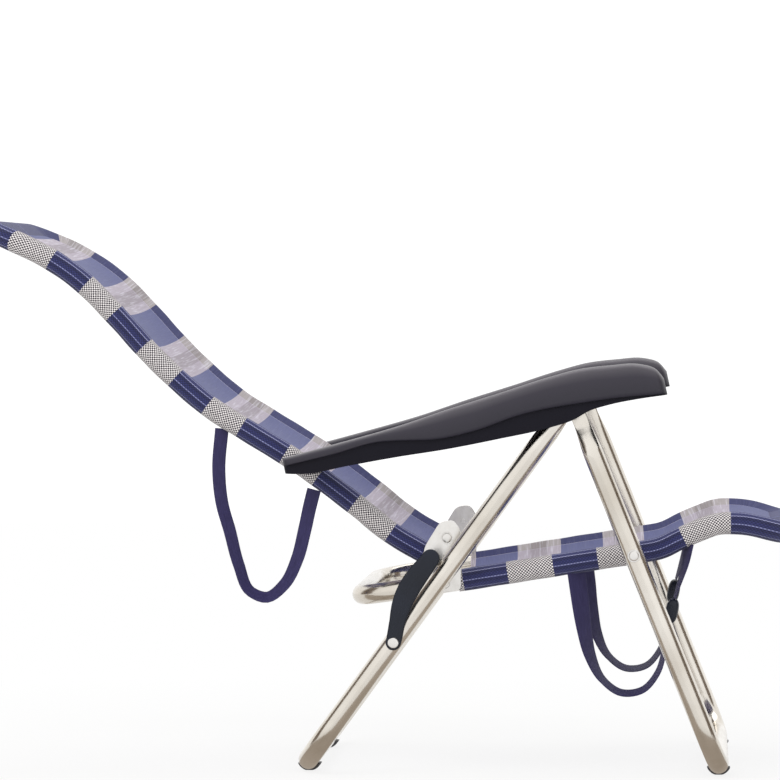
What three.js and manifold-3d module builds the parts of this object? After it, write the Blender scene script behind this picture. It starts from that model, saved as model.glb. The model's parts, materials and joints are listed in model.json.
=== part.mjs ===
// Folding lawn chair: bent aluminium tube, woven slings, moulded armrests, folding legs.
// Millimetres, +Z up, +X towards the front of the seat, Y across the chair.
// The back is shown let down flat; it rises notch by notch as the armrests slide on the leg pins.
import * as THREE from "three";
import { mergeVertices } from "three/addons/utils/BufferGeometryUtils.js";
import Module from "manifold-3d";

const wasm = await Module();
wasm.setup();

// Driving dimensions: tube and clearances
const TUBE_RADIUS = 14;
const TUBE_SIDES = 12;
const CLOTH_SIDES = 8;
const FIT_GAP = 0.3;
const RUNNING_GAP = 0.7;
const CLOTH_THICKNESS = 1.4;
const CUT_OVERRUN = 20;

// Legs, measured in side view from the apex where the two leg frames are pinned together
const APEX_HEIGHT = 527.8;
const FRONT_LEG_SPREAD = 204.4;
const REAR_LEG_SPREAD = 372.2;
const APEX_TO_SEAT_PIVOT = 233.7;
const APEX_TO_LINK_PIVOT = 420.9;
const LEG_BEND_RADIUS = 62;
const TANG_LENGTH = 35;
const TANG_BLEND = 50;
const TANG_THICKNESS = 6;
const TANG_HALF_HEIGHT = 11;
const GLIDE_THICKNESS = 3;
const GLIDE_LENGTH = 26;
const GLIDE_HALF_WIDTH = 12;
const GLIDE_HEIGHT = 10;

// Seat frame and back frame in side view
const SEAT_LENGTH = 599;
const SEAT_BEND_RADIUS = 55;
const SEAT_JOINT_BEHIND_PIVOT = 229;
const SLEEVE_LENGTH = 60;
const SLEEVE_RADIUS = 9.5;
const SEAT_SLING_BEHIND_PIVOT = 250;
const SEAT_SAG = 24;
const HINGE_BEHIND_PIVOT = 264.6;
const HINGE_BELOW_PIVOT = 15.4;
const BACK_REACH = 641.4;
const BACK_RISE = 464.6;
const BACK_BEND_RADIUS = 60;
const BACK_SAG = 20;
const BACK_TANG_LENGTH = 12;
const BACK_TANG_BLEND = 22;
const BACK_TANG_HALF_HEIGHT = 9.5;

// Layers across the chair, as distances from its middle
const FRAME_HALF_SPAN = 222;
const BACK_TANG_CENTRE = FRAME_HALF_SPAN + 10;
const PLATE_INNER_FACE = BACK_TANG_CENTRE + 6.5;
const PLATE_THICKNESS = 3;
const REAR_LEG_HALF_SPAN = FRAME_HALF_SPAN + 37;
const REAR_TANG_CENTRE = REAR_LEG_HALF_SPAN + 9.6;
const FRONT_TANG_CENTRE = REAR_TANG_CENTRE + 7.4;
const LINK_INNER_FACE = REAR_LEG_HALF_SPAN + 15.1;
const LINK_THICKNESS = 7;
const FRONT_LEG_HALF_SPAN = FRAME_HALF_SPAN + 67.6;
const ARM_HALF_SPAN = FRAME_HALF_SPAN + 50;
const ARM_WIDTH = 50;
const ARM_WALL = 3;

// Pins and rivets
const PIN_RADIUS = 4;
const COLLAR_RADIUS = 6;
const HEAD_RADIUS = 7;
const HEAD_THICKNESS = 2.5;
const ARM_PIN_RADIUS = 5;
const PIN_SIDES = 16;

// Bracket plate and link
const LINK_PIN_BEHIND_HINGE = 18.2;
const LINK_PIN_ABOVE_HINGE = 9.8;
const RIVET_AHEAD_OF_HINGE = 2.8;
const RIVET_ABOVE_HINGE = 36.4;
const PLATE_HEIGHT = 102;
const LINK_END_RADIUS = 11.5;
const LINK_TOP_RADIUS = 11;
const LINK_BOW = 8;

// Armrests and their notched racks
const ARM_LENGTH = 535;
const ARM_INCLINE = THREE.MathUtils.degToRad(12.1);
const RACK_INNER_FACE = ARM_HALF_SPAN + 11;
const RACK_NOTCHES = 7;
const RACK_TIP_GAP = 0.8;
const NOTCH_DEPTH = 5;

// Webbing straps and their small pieces
const STRAP_WIDTH = 32;
const STRAP_THICKNESS = 1.8;
const CARRY_STRAP_WIDTH = 20;
const CLIP_HALF_HEIGHT = 17.5;
const CLIP_HALF_DEPTH = 7.5;
const CLIP_TILT = THREE.MathUtils.degToRad(12);
const CLIP_SIDE_WALL = 3;

// Seat tube in side view: forward and up from the middle of the rear bar.
const seatProfileShares = [
  [0, 0], [0.2, 0.0323], [0.42, 0.0679], [0.643, 0.104], [0.703, 0.1155], [0.748, 0.137],
  [0.795, 0.158], [0.836, 0.172], [0.876, 0.174], [1, 0.149],
];
const SEAT_PIVOT_STATION = 3;
// Back tube in side view: backward (of its reach) and up (of its rise) from the hinge.
const backProfileShares = [
  [0, 0], [0.048, 0.033], [0.118, 0.09], [0.196, 0.175], [0.314, 0.295], [0.434, 0.398],
  [0.517, 0.47], [0.587, 0.551], [0.659, 0.648], [0.712, 0.729], [0.81, 0.862], [0.86, 0.91],
  [0.908, 0.946], [1, 1],
];
const ARM_PIVOT_STATION = 4;
// Bracket plate outline, forward of and above its pin hole, as shares of the plate's height.
const plateShares = [
  [-0.295, 0.21], [-0.07, 0.577], [0.124, 0.604], [0.22, 0.453], [0.22, -0.371], [-0.137, -0.398],
  [-0.28, -0.02],
];
// Armrest outline from its rear pivot, along and across its length.
const armTopShares = [
  [-0.039, 0.03], [0.11, 0.038], [0.273, 0.049], [0.41, 0.065], [0.547, 0.078], [0.683, 0.092],
  [0.765, 0.096], [0.843, 0.089], [0.921, 0.076], [0.957, 0.057], [0.975, 0.027],
];
const armBottomShares = [
  [0.973, -0.016], [0.902, -0.011], [0.822, -0.01], [0.768, -0.015], [0.724, -0.029],
  [0.656, -0.036], [0.522, -0.037], [0.389, -0.035], [0.256, -0.028], [0.123, -0.024],
  [0.017, -0.022], [-0.033, -0.012],
];
// How far the leg pin slides along and down the armrest as the back goes from flat to upright.
const PIN_SLIDE = [154.1, 23.3];
const RACK_END_SHARE = 0.022;

// Strap routes in side view, forward of and above the seat pivot.
const seatStrapRoute = [
  [-81, -29.7], [-76, -67], [-70, -109], [-62, -144], [-46, -176], [-18, -196], [11, -192],
  [32, -168], [42, -134], [48.2, -98.9],
];
const tabStrapRoute = [[55.6, -63.1], [64, -37], [71, -13], [74, 6]];
const clipPlace = [52, -81];
const STRAP_TURN_STATIONS = 4;
// Carry strap route in side view, forward of and above the back hinge.
const carryStrapRoute = [
  [-314.6, 188.3], [-319, 130], [-314, 81], [-304, 46], [-291, -3], [-274, -41], [-252, -49],
  [-227, -31], [-209, 4], [-198, 46], [-191, 78], [-184.8, 102.8],
];

// Derived places
const FOOT_HEIGHT = TUBE_RADIUS + GLIDE_THICKNESS;
const LEG_DROP = APEX_HEIGHT - FOOT_HEIGHT;
const APEX = new THREE.Vector3(0, 0, APEX_HEIGHT);
const frontLegWay = new THREE.Vector3(FRONT_LEG_SPREAD, 0, -LEG_DROP).normalize();
const rearLegWay = new THREE.Vector3(-REAR_LEG_SPREAD, 0, -LEG_DROP).normalize();
const SEAT_PIVOT = APEX.clone().addScaledVector(frontLegWay, APEX_TO_SEAT_PIVOT);
const LINK_LOW_PIVOT = APEX.clone().addScaledVector(rearLegWay, APEX_TO_LINK_PIVOT);
const offset = (point, forward, up) => new THREE.Vector3(point.x + forward, 0, point.z + up);
const HINGE = offset(SEAT_PIVOT, -HINGE_BEHIND_PIVOT, -HINGE_BELOW_PIVOT);
const LINK_TOP_PIVOT = offset(HINGE, -LINK_PIN_BEHIND_HINGE, LINK_PIN_ABOVE_HINGE);
const UPPER_RIVET = offset(HINGE, RIVET_AHEAD_OF_HINGE, RIVET_ABOVE_HINGE);
const [pivotAlongShare, pivotRiseShare] = seatProfileShares[SEAT_PIVOT_STATION];
const seatStart = offset(SEAT_PIVOT, -pivotAlongShare * SEAT_LENGTH, -pivotRiseShare * SEAT_LENGTH);
const seatRail = seatProfileShares.map(([along, rise]) => (
  offset(seatStart, along * SEAT_LENGTH, rise * SEAT_LENGTH)));
const backRail = backProfileShares.map(([reach, rise]) => (
  offset(HINGE, -reach * BACK_REACH, rise * BACK_RISE)));
const ARM_PIVOT = backRail[ARM_PIVOT_STATION];

const TUBE_FACE = FRAME_HALF_SPAN + TUBE_RADIUS + FIT_GAP;
const PLATE_OUTER_FACE = PLATE_INNER_FACE + PLATE_THICKNESS;
const FRONT_LEG_INNER_FACE = FRONT_LEG_HALF_SPAN - TUBE_RADIUS;
const FRONT_LEG_OUTER_FACE = FRONT_LEG_HALF_SPAN + TUBE_RADIUS;
const LINK_OUTER_FACE = LINK_INNER_FACE + LINK_THICKNESS;
const ARM_OUTER_FACE = ARM_HALF_SPAN + ARM_WIDTH / 2;
const ARM_INNER_FACE = ARM_HALF_SPAN - ARM_WIDTH / 2;
const SLEEVE_CLOTH_RADIUS = TUBE_RADIUS + FIT_GAP + CLOTH_THICKNESS;

// Materials
const finish = (color, roughness, metalness) => (
  new THREE.MeshStandardMaterial({ color, roughness, metalness }));
const aluminium = finish(0xd9d6cf, 0.28, 1);
const bracketMetal = finish(0xe4e2de, 0.35, 1);
const armPlastic = finish(0x2b2b30, 0.45, 0);
const linkPlastic = finish(0x1d2128, 0.42, 0);
const sleeveNylon = finish(0xe6e4df, 0.5, 0);
const plaidCloth = finish(0x4a4d7e, 0.85, 0);
const navyWebbing = finish(0x28244f, 0.8, 0);

const chair = new THREE.Group();
const sides = [["right", -1], ["left", 1]];

function addPiece(name, geometry, material) {
  const mesh = new THREE.Mesh(geometry, material);
  mesh.name = name;
  chair.add(mesh);
}

// Joins and cuts

function toSolid(geometry) {
  const bare = geometry.clone();
  bare.deleteAttribute("normal");
  bare.deleteAttribute("uv");
  const merged = mergeVertices(bare, 1e-4);
  return new wasm.Manifold(new wasm.Mesh({
    numProp: 3,
    vertProperties: new Float32Array(merged.attributes.position.array),
    triVerts: new Uint32Array(merged.index.array),
  }));
}

function toGeometry(solid) {
  const mesh = solid.getMesh();
  const geometry = new THREE.BufferGeometry();
  geometry.setAttribute("position", new THREE.BufferAttribute(new Float32Array(mesh.vertProperties), 3));
  geometry.setIndex(new THREE.BufferAttribute(new Uint32Array(mesh.triVerts), 1));
  geometry.computeVertexNormals();
  return geometry;
}

const cut = (geometry, ...tools) => (
  toGeometry(tools.reduce((left, tool) => left.subtract(toSolid(tool)), toSolid(geometry))));
const join = (...geometries) => (
  toGeometry(geometries.map(toSolid).reduce((sum, solid) => sum.add(solid))));

// Sweeps

// A path through given stations, each with its own ring, so that bends can be finer than runs.
class StationPath extends THREE.Curve {
  constructor(stations) {
    super();
    this.stations = stations;
  }

  stationAt(t) {
    return Math.round(t * (this.stations.length - 1));
  }

  getPoint(t, target = new THREE.Vector3()) {
    return target.copy(this.stations[this.stationAt(t)]);
  }

  getPointAt(t, target) {
    return this.getPoint(t, target);
  }

  getTangent(t, target = new THREE.Vector3()) {
    const i = this.stationAt(t);
    const before = this.stations[Math.max(i - 1, 0)];
    const after = this.stations[Math.min(i + 1, this.stations.length - 1)];
    return target.subVectors(after, before).normalize();
  }

  getTangentAt(t, target) {
    return this.getTangent(t, target);
  }
}

function sweep(shape, stations) {
  return new THREE.ExtrudeGeometry(shape, {
    steps: stations.length - 1,
    extrudePath: new StationPath(stations),
  });
}

function roundTube(stations, radius, facets = TUBE_SIDES) {
  const section = Array.from({ length: facets }, (_, i) => {
    const angle = (2 * Math.PI * i) / facets;
    return new THREE.Vector2(radius * Math.cos(angle), radius * Math.sin(angle));
  });
  return sweep(new THREE.Shape(section), stations);
}

// The stations of a polyline whose listed corners are rounded by arcs of one radius.
function withRoundCorners(points, corners, radius, steps = 6) {
  return points.flatMap((point, i) => {
    if (!corners.includes(i)) return [point];
    const back = points[i - 1].clone().sub(point).normalize();
    const ahead = points[i + 1].clone().sub(point).normalize();
    const half = back.angleTo(ahead) / 2;
    const toCentre = back.clone().add(ahead).normalize().multiplyScalar(radius / Math.sin(half));
    const start = back.multiplyScalar(radius / Math.tan(half)).sub(toCentre);
    const end = ahead.multiplyScalar(radius / Math.tan(half)).sub(toCentre);
    const turn = start.angleTo(end);
    return Array.from({ length: steps + 1 }, (_, k) => {
      const t = k / steps;
      return start.clone().multiplyScalar(Math.sin((1 - t) * turn) / Math.sin(turn))
        .addScaledVector(end, Math.sin(t * turn) / Math.sin(turn))
        .add(toCentre).add(point);
    });
  });
}

const acrossAt = (point, y) => new THREE.Vector3(point.x, y, point.z);

// A rail with only those stations that leave room for a bend of this radius at its end.
function clearOfBend(rail, radius) {
  const last = rail.at(-1);
  return [...rail.slice(0, -1).filter((point) => point.distanceTo(last) > radius * 1.05), last];
}

// A rail on both sides with a bar across at its far end: the stations of one bent tube.
function hoopStations(rail, halfSpan, radius) {
  const run = clearOfBend(rail, radius);
  const right = run.map((point) => acrossAt(point, -halfSpan));
  const left = run.map((point) => acrossAt(point, halfSpan)).reverse();
  return withRoundCorners([...right, ...left], [run.length - 1, run.length], radius);
}

// Presses the tube flat round a pin: vertices near the pin move towards one thin layer.
function pressFlat(geometry, { pivot, way, sign, halfSpan, layer, halfHeight, flat, blend }) {
  const upright = new THREE.Vector3(way.z, 0, -way.x);
  const position = geometry.attributes.position;
  const point = new THREE.Vector3();
  for (let i = 0; i < position.count; i += 1) {
    point.fromBufferAttribute(position, i);
    const along = point.clone().sub(pivot).dot(way);
    if (point.y * sign > 0 && along < flat + blend) {
      const t = THREE.MathUtils.smoothstep(along, flat, flat + blend);
      const height = point.clone().sub(pivot).dot(upright);
      const nose = along < 0 ? Math.sqrt(Math.max(1 - (along / halfHeight) ** 2, 0.2)) : 1;
      const newHeight = height * THREE.MathUtils.lerp((halfHeight / TUBE_RADIUS) * nose, 1, t);
      const side = point.y - sign * halfSpan;
      const squeezed = sign * layer + (side * TANG_THICKNESS) / 2 / TUBE_RADIUS;
      const y = THREE.MathUtils.lerp(squeezed, point.y, t);
      point.addScaledVector(upright, newHeight - height);
      position.setXYZ(i, point.x, y, point.z);
    }
  }
  return geometry;
}

// A thin solid on a grid of points.
function sheet(grid, thickness) {
  const rows = grid.length;
  const columns = grid[0].length;
  const pick = (i, j) => (
    grid[THREE.MathUtils.clamp(i, 0, rows - 1)][THREE.MathUtils.clamp(j, 0, columns - 1)]);
  const positions = [];
  const indices = [];
  for (const side of [0.5, -0.5]) {
    for (let i = 0; i < rows; i += 1) {
      for (let j = 0; j < columns; j += 1) {
        const along = pick(i + 1, j).clone().sub(pick(i - 1, j));
        const across = pick(i, j + 1).clone().sub(pick(i, j - 1));
        const normal = along.cross(across).normalize();
        positions.push(...pick(i, j).clone().addScaledVector(normal, side * thickness));
      }
    }
  }
  const at = (layer, i, j) => (layer * rows + i) * columns + j;
  const quad = (a, b, c, d) => indices.push(a, b, c, a, c, d);
  const lastRow = rows - 1;
  const lastColumn = columns - 1;
  for (let i = 0; i < lastRow; i += 1) {
    for (let j = 0; j < lastColumn; j += 1) {
      quad(at(0, i, j), at(0, i + 1, j), at(0, i + 1, j + 1), at(0, i, j + 1));
      quad(at(1, i, j), at(1, i, j + 1), at(1, i + 1, j + 1), at(1, i + 1, j));
    }
    quad(at(0, i, 0), at(1, i, 0), at(1, i + 1, 0), at(0, i + 1, 0));
    const edge = [[0, i], [0, i + 1], [1, i + 1], [1, i]];
    quad(...edge.map(([layer, row]) => at(layer, row, lastColumn)));
  }
  for (let j = 0; j < lastColumn; j += 1) {
    quad(at(0, 0, j), at(0, 0, j + 1), at(1, 0, j + 1), at(1, 0, j));
    quad(at(0, lastRow, j), at(1, lastRow, j), at(1, lastRow, j + 1), at(0, lastRow, j + 1));
  }
  const geometry = new THREE.BufferGeometry();
  geometry.setAttribute("position", new THREE.Float32BufferAttribute(positions, 3));
  geometry.setIndex(indices);
  return geometry;
}

// Turned pins: a list of [radius, from, to] steps outwards along Y on one side.
function turnedPin(centre, sign, steps) {
  const profile = [new THREE.Vector2(0, steps[0][1])];
  steps.forEach(([radius, from, to]) => {
    profile.push(new THREE.Vector2(radius, from), new THREE.Vector2(radius, to));
  });
  profile.push(new THREE.Vector2(0, steps.at(-1)[2]));
  const pin = new THREE.LatheGeometry(profile, PIN_SIDES);
  if (sign < 0) pin.rotateX(Math.PI);
  pin.translate(centre.x, 0, centre.z);
  return pin;
}

function bar(centre, sign, radius, from, to) {
  const cylinder = new THREE.CylinderGeometry(radius, radius, to - from, PIN_SIDES);
  cylinder.translate(centre.x, (sign * (from + to)) / 2, centre.z);
  return cylinder;
}

const hole = (centre, sign, radius, halfSpan) => (
  bar(centre, sign, radius + FIT_GAP, halfSpan - CUT_OVERRUN, halfSpan + CUT_OVERRUN));

// A plate of a side outline between two distances from the middle.
function sidePlate(outline, sign, from, to) {
  const plate = new THREE.ExtrudeGeometry(new THREE.Shape(outline), {
    depth: to - from,
    bevelEnabled: false,
  });
  plate.rotateX(Math.PI / 2);
  plate.translate(0, sign > 0 ? to : -from, 0);
  return plate;
}

const flatPoint = (point, forward = 0, up = 0) => new THREE.Vector2(point.x + forward, point.z + up);

// Legs

function legHoop(way, halfSpan, layer) {
  const marks = [
    -TANG_HALF_HEIGHT, -TANG_HALF_HEIGHT * 0.7, 0, TANG_LENGTH,
    TANG_LENGTH + TANG_BLEND * 0.25, TANG_LENGTH + TANG_BLEND * 0.5,
    TANG_LENGTH + TANG_BLEND * 0.75, TANG_LENGTH + TANG_BLEND, LEG_DROP / -way.z,
  ];
  const rail = marks.map((distance) => APEX.clone().addScaledVector(way, distance));
  const hoop = roundTube(hoopStations(rail, halfSpan, LEG_BEND_RADIUS), TUBE_RADIUS);
  sides.forEach(([, sign]) => pressFlat(hoop, {
    pivot: APEX,
    way,
    sign,
    halfSpan,
    layer,
    halfHeight: TANG_HALF_HEIGHT,
    flat: TANG_LENGTH,
    blend: TANG_BLEND,
  }));
  return hoop;
}

addPiece("front_leg_hoop", cut(
  legHoop(frontLegWay, FRONT_LEG_HALF_SPAN, FRONT_TANG_CENTRE),
  ...sides.map(([, sign]) => hole(APEX, sign, PIN_RADIUS, FRONT_LEG_HALF_SPAN)),
  ...sides.map(([, sign]) => hole(SEAT_PIVOT, sign, PIN_RADIUS, FRONT_LEG_HALF_SPAN)),
), aluminium);
addPiece("rear_leg_hoop", cut(
  legHoop(rearLegWay, REAR_LEG_HALF_SPAN, REAR_TANG_CENTRE),
  ...sides.map(([, sign]) => hole(APEX, sign, PIN_RADIUS, REAR_LEG_HALF_SPAN)),
), aluminium);

// Foot glides: saddles under the floor bars, just inside the bends
function glide(sign, footX, halfSpan) {
  const centre = new THREE.Vector3(footX, 0, FOOT_HEIGHT);
  const to = halfSpan - LEG_BEND_RADIUS - GLIDE_LENGTH / 2;
  const outline = [[-1, 0], [1, 0], [1, 1], [-1, 1]].map(([forward, up]) => (
    new THREE.Vector2(footX + forward * GLIDE_HALF_WIDTH, up * GLIDE_HEIGHT)));
  const block = sidePlate(outline, sign, to - GLIDE_LENGTH, to);
  return cut(block, bar(centre, sign, TUBE_RADIUS + FIT_GAP, to - 2 * GLIDE_LENGTH, to + GLIDE_LENGTH));
}

for (const [word, sign] of sides) {
  addPiece(`front_glide_${word}`, glide(sign, FRONT_LEG_SPREAD, FRONT_LEG_HALF_SPAN), armPlastic);
  addPiece(`rear_glide_${word}`, glide(sign, -REAR_LEG_SPREAD, REAR_LEG_HALF_SPAN), armPlastic);
}

// Seat frame: two hoops that meet under the cloth on inner sleeves
const railSlope = SEAT_PIVOT.clone().sub(seatStart).normalize();
const alongRail = (distance) => SEAT_PIVOT.clone().addScaledVector(railSlope, distance);
const seatJoint = alongRail(-SEAT_JOINT_BEHIND_PIVOT);
const rearRail = [alongRail(-SEAT_JOINT_BEHIND_PIVOT - FIT_GAP / 2), seatStart];
const frontRail = [
  alongRail(-SEAT_JOINT_BEHIND_PIVOT + FIT_GAP / 2), ...seatRail.slice(SEAT_PIVOT_STATION)];

function sleeveAt(sign, radius, length) {
  const rod = new THREE.CylinderGeometry(radius, radius, length, PIN_SIDES);
  rod.rotateZ(-Math.PI / 2);
  rod.rotateY(-Math.atan2(railSlope.z, railSlope.x));
  rod.translate(seatJoint.x, sign * FRAME_HALF_SPAN, seatJoint.z);
  return rod;
}

const seatBores = sides.map(([, sign]) => (
  sleeveAt(sign, SLEEVE_RADIUS + FIT_GAP, SLEEVE_LENGTH + 2 * FIT_GAP)));
addPiece("seat_rear_hoop", cut(
  roundTube(hoopStations(rearRail, FRAME_HALF_SPAN, SEAT_BEND_RADIUS), TUBE_RADIUS), ...seatBores,
), aluminium);
addPiece("seat_front_hoop", cut(
  roundTube(hoopStations(frontRail, FRAME_HALF_SPAN, SEAT_BEND_RADIUS), TUBE_RADIUS), ...seatBores,
), aluminium);
for (const [word, sign] of sides) {
  addPiece(`seat_joint_sleeve_${word}`, sleeveAt(sign, SLEEVE_RADIUS, SLEEVE_LENGTH), sleeveNylon);
}

// Back frame: a hairpin with its two lower ends pressed flat round the hinge pins
const backWay = backRail[1].clone().sub(HINGE).normalize();
const alongBack = (distance) => HINGE.clone().addScaledVector(backWay, distance);
const backTangMarks = [
  -BACK_TANG_HALF_HEIGHT, -BACK_TANG_HALF_HEIGHT * 0.7, 0, BACK_TANG_LENGTH,
  BACK_TANG_LENGTH + BACK_TANG_BLEND / 2,
];
const fullBackRail = [...backTangMarks.map(alongBack), ...backRail.slice(1)];
const backTube = roundTube(hoopStations(fullBackRail, FRAME_HALF_SPAN, BACK_BEND_RADIUS), TUBE_RADIUS);
sides.forEach(([, sign]) => pressFlat(backTube, {
  pivot: HINGE,
  way: backWay,
  sign,
  halfSpan: FRAME_HALF_SPAN,
  layer: BACK_TANG_CENTRE,
  halfHeight: BACK_TANG_HALF_HEIGHT,
  flat: BACK_TANG_LENGTH,
  blend: BACK_TANG_BLEND,
}));
addPiece("back_hoop", cut(
  backTube, ...sides.map(([, sign]) => hole(HINGE, sign, PIN_RADIUS, FRAME_HALF_SPAN)),
), aluminium);

// Slings: a sleeve of cloth round the whole hoop and a sagging panel between

// The rows of the panel along a rail, with extra ones where the bend towards its end bar begins.
function panelRail(rail, radius) {
  const run = clearOfBend(rail, radius);
  const last = run.pop();
  const way = last.clone().sub(run.at(-1)).normalize();
  const bends = [0.95, 0.7, 0.45, 0.2].map((share) => last.clone().addScaledVector(way, -share * radius));
  return [...run, ...bends, last];
}

function slingPanel(rail, radius, sag, upSign) {
  const columns = 6;
  const rise = TUBE_RADIUS + FIT_GAP + CLOTH_THICKNESS / 2;
  return rail.map((point, i) => {
    const before = rail[Math.max(i - 1, 0)];
    const after = rail[Math.min(i + 1, rail.length - 1)];
    const way = after.clone().sub(before).normalize();
    const up = new THREE.Vector3(-way.z, 0, way.x).multiplyScalar(upSign);
    const left = point.distanceTo(rail.at(-1));
    const narrow = left < radius ? radius - Math.sqrt(radius ** 2 - (radius - left) ** 2) : 0;
    const halfSpan = FRAME_HALF_SPAN - narrow;
    const depth = sag * Math.sin((Math.min(left / (3 * radius), 1) * Math.PI) / 2);
    return Array.from({ length: columns + 1 }, (_, k) => {
      const t = (2 * k) / columns - 1;
      return acrossAt(point, t * halfSpan).addScaledVector(up, rise - depth * (1 - t ** 4));
    });
  });
}

// tubeRail is the rail of the bare tube inside, which runs on beyond the cloth.
function sling(rail, tubeRail, radius, sag, upSign, bores) {
  const outer = roundTube(hoopStations(rail, FRAME_HALF_SPAN, radius), SLEEVE_CLOTH_RADIUS, CLOTH_SIDES);
  const inner = roundTube(hoopStations(tubeRail, FRAME_HALF_SPAN, radius), TUBE_RADIUS + FIT_GAP);
  const panel = sheet(slingPanel(panelRail(rail, radius), radius, sag, upSign), CLOTH_THICKNESS);
  return cut(join(outer, panel), inner, ...bores);
}

const eyelets = (centre) => sides.map(([, sign]) => (
  bar(centre, sign, HEAD_RADIUS, FRAME_HALF_SPAN, FRAME_HALF_SPAN + CUT_OVERRUN)));
addPiece("seat_sling", sling(
  [alongRail(-SEAT_SLING_BEHIND_PIVOT), alongRail(-SEAT_SLING_BEHIND_PIVOT / 2),
    ...seatRail.slice(SEAT_PIVOT_STATION)],
  [alongRail(-SEAT_SLING_BEHIND_PIVOT - CUT_OVERRUN), ...frontRail],
  SEAT_BEND_RADIUS, SEAT_SAG, 1, eyelets(SEAT_PIVOT),
), plaidCloth);
addPiece("back_sling", sling(
  backRail.slice(1), fullBackRail,
  BACK_BEND_RADIUS, BACK_SAG, -1, eyelets(ARM_PIVOT),
), plaidCloth);

// Brackets, bolts, rivets and pins
const boltPlace = alongRail((HINGE.x - SEAT_PIVOT.x) / railSlope.x);
const plateOutline = plateShares.map(([forward, up]) => (
  flatPoint(HINGE, forward * PLATE_HEIGHT, up * PLATE_HEIGHT)));
const plateBack = PLATE_INNER_FACE - FIT_GAP;
const plateHead = PLATE_OUTER_FACE + FIT_GAP;
const plateHeadEnd = plateHead + HEAD_THICKNESS;
const backTangInner = BACK_TANG_CENTRE - TANG_THICKNESS / 2 - FIT_GAP;
const backTangOuter = BACK_TANG_CENTRE + TANG_THICKNESS / 2 + FIT_GAP;
const linkBack = LINK_INNER_FACE - FIT_GAP;
const linkHead = LINK_OUTER_FACE + FIT_GAP;
const legBack = FRONT_LEG_INNER_FACE - FIT_GAP;
const legHead = FRONT_LEG_OUTER_FACE + FIT_GAP;
const apexBack = REAR_TANG_CENTRE - TANG_THICKNESS / 2 - FIT_GAP;
const apexHead = FRONT_TANG_CENTRE + TANG_THICKNESS / 2 + FIT_GAP;
const apexPinEnd = ARM_OUTER_FACE - ARM_WALL - 2 * RUNNING_GAP;

for (const [word, sign] of sides) {
  const holes = [HINGE, LINK_TOP_PIVOT, UPPER_RIVET, boltPlace].map((centre) => (
    hole(centre, sign, PIN_RADIUS, PLATE_INNER_FACE)));
  addPiece(`seat_bracket_${word}`, cut(
    sidePlate(plateOutline, sign, PLATE_INNER_FACE, PLATE_OUTER_FACE), ...holes,
  ), bracketMetal);
  addPiece(`bracket_bolt_${word}`, turnedPin(boltPlace, sign, [
    [HEAD_RADIUS, TUBE_FACE, plateBack],
    [PIN_RADIUS, plateBack, plateHead],
    [HEAD_RADIUS, plateHead, plateHeadEnd],
  ]), bracketMetal);
  addPiece(`bracket_rivet_${word}`, turnedPin(UPPER_RIVET, sign, [
    [PIN_RADIUS, plateBack, plateHead],
    [HEAD_RADIUS, plateHead, plateHeadEnd],
  ]), bracketMetal);
  addPiece(`back_pin_${word}`, turnedPin(HINGE, sign, [
    [COLLAR_RADIUS, backTangInner - HEAD_THICKNESS, backTangInner],
    [PIN_RADIUS, backTangInner, backTangOuter],
    [COLLAR_RADIUS, backTangOuter, plateBack],
    [PIN_RADIUS, plateBack, plateHead],
    [HEAD_RADIUS, plateHead, plateHeadEnd],
  ]), bracketMetal);
  addPiece(`link_pin_${word}`, turnedPin(LINK_TOP_PIVOT, sign, [
    [PIN_RADIUS, plateBack, plateHead],
    [COLLAR_RADIUS, plateHead, linkBack],
    [PIN_RADIUS, linkBack, linkHead],
    [HEAD_RADIUS, linkHead, linkHead + HEAD_THICKNESS],
  ]), bracketMetal);
  addPiece(`seat_pivot_${word}`, turnedPin(SEAT_PIVOT, sign, [
    [COLLAR_RADIUS, TUBE_FACE, legBack],
    [PIN_RADIUS, legBack, legHead],
    [HEAD_RADIUS, legHead, legHead + HEAD_THICKNESS],
  ]), bracketMetal);
  addPiece(`apex_pin_${word}`, turnedPin(APEX, sign, [
    [HEAD_RADIUS, apexBack - HEAD_THICKNESS, apexBack],
    [PIN_RADIUS, apexBack, apexHead],
    [HEAD_RADIUS, apexHead, apexHead + HEAD_THICKNESS],
    [PIN_RADIUS, apexHead + HEAD_THICKNESS, apexPinEnd],
  ]), bracketMetal);
}

// Links: bowed plastic straps from the bracket down to the rear legs
function linkOutline() {
  const run = LINK_LOW_PIVOT.clone().sub(LINK_TOP_PIVOT);
  const side = new THREE.Vector3(-run.z, 0, run.x).normalize();
  const bowed = LINK_TOP_PIVOT.clone().addScaledVector(run, 0.5).addScaledVector(side, -LINK_BOW);
  const angle = Math.atan2(run.z, run.x);
  const middleRadius = (LINK_END_RADIUS + LINK_TOP_RADIUS) / 2;
  const arcSteps = 8;
  const arc = (centre, radius, from) => Array.from({ length: arcSteps + 1 }, (_, k) => {
    const turn = from + (Math.PI * k) / arcSteps;
    return flatPoint(centre, radius * Math.cos(turn), radius * Math.sin(turn));
  });
  return [
    ...arc(LINK_LOW_PIVOT, LINK_END_RADIUS, angle - Math.PI / 2),
    flatPoint(bowed.clone().addScaledVector(side, middleRadius)),
    ...arc(LINK_TOP_PIVOT, LINK_TOP_RADIUS, angle + Math.PI / 2),
    flatPoint(bowed.clone().addScaledVector(side, -middleRadius)),
  ];
}

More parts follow.
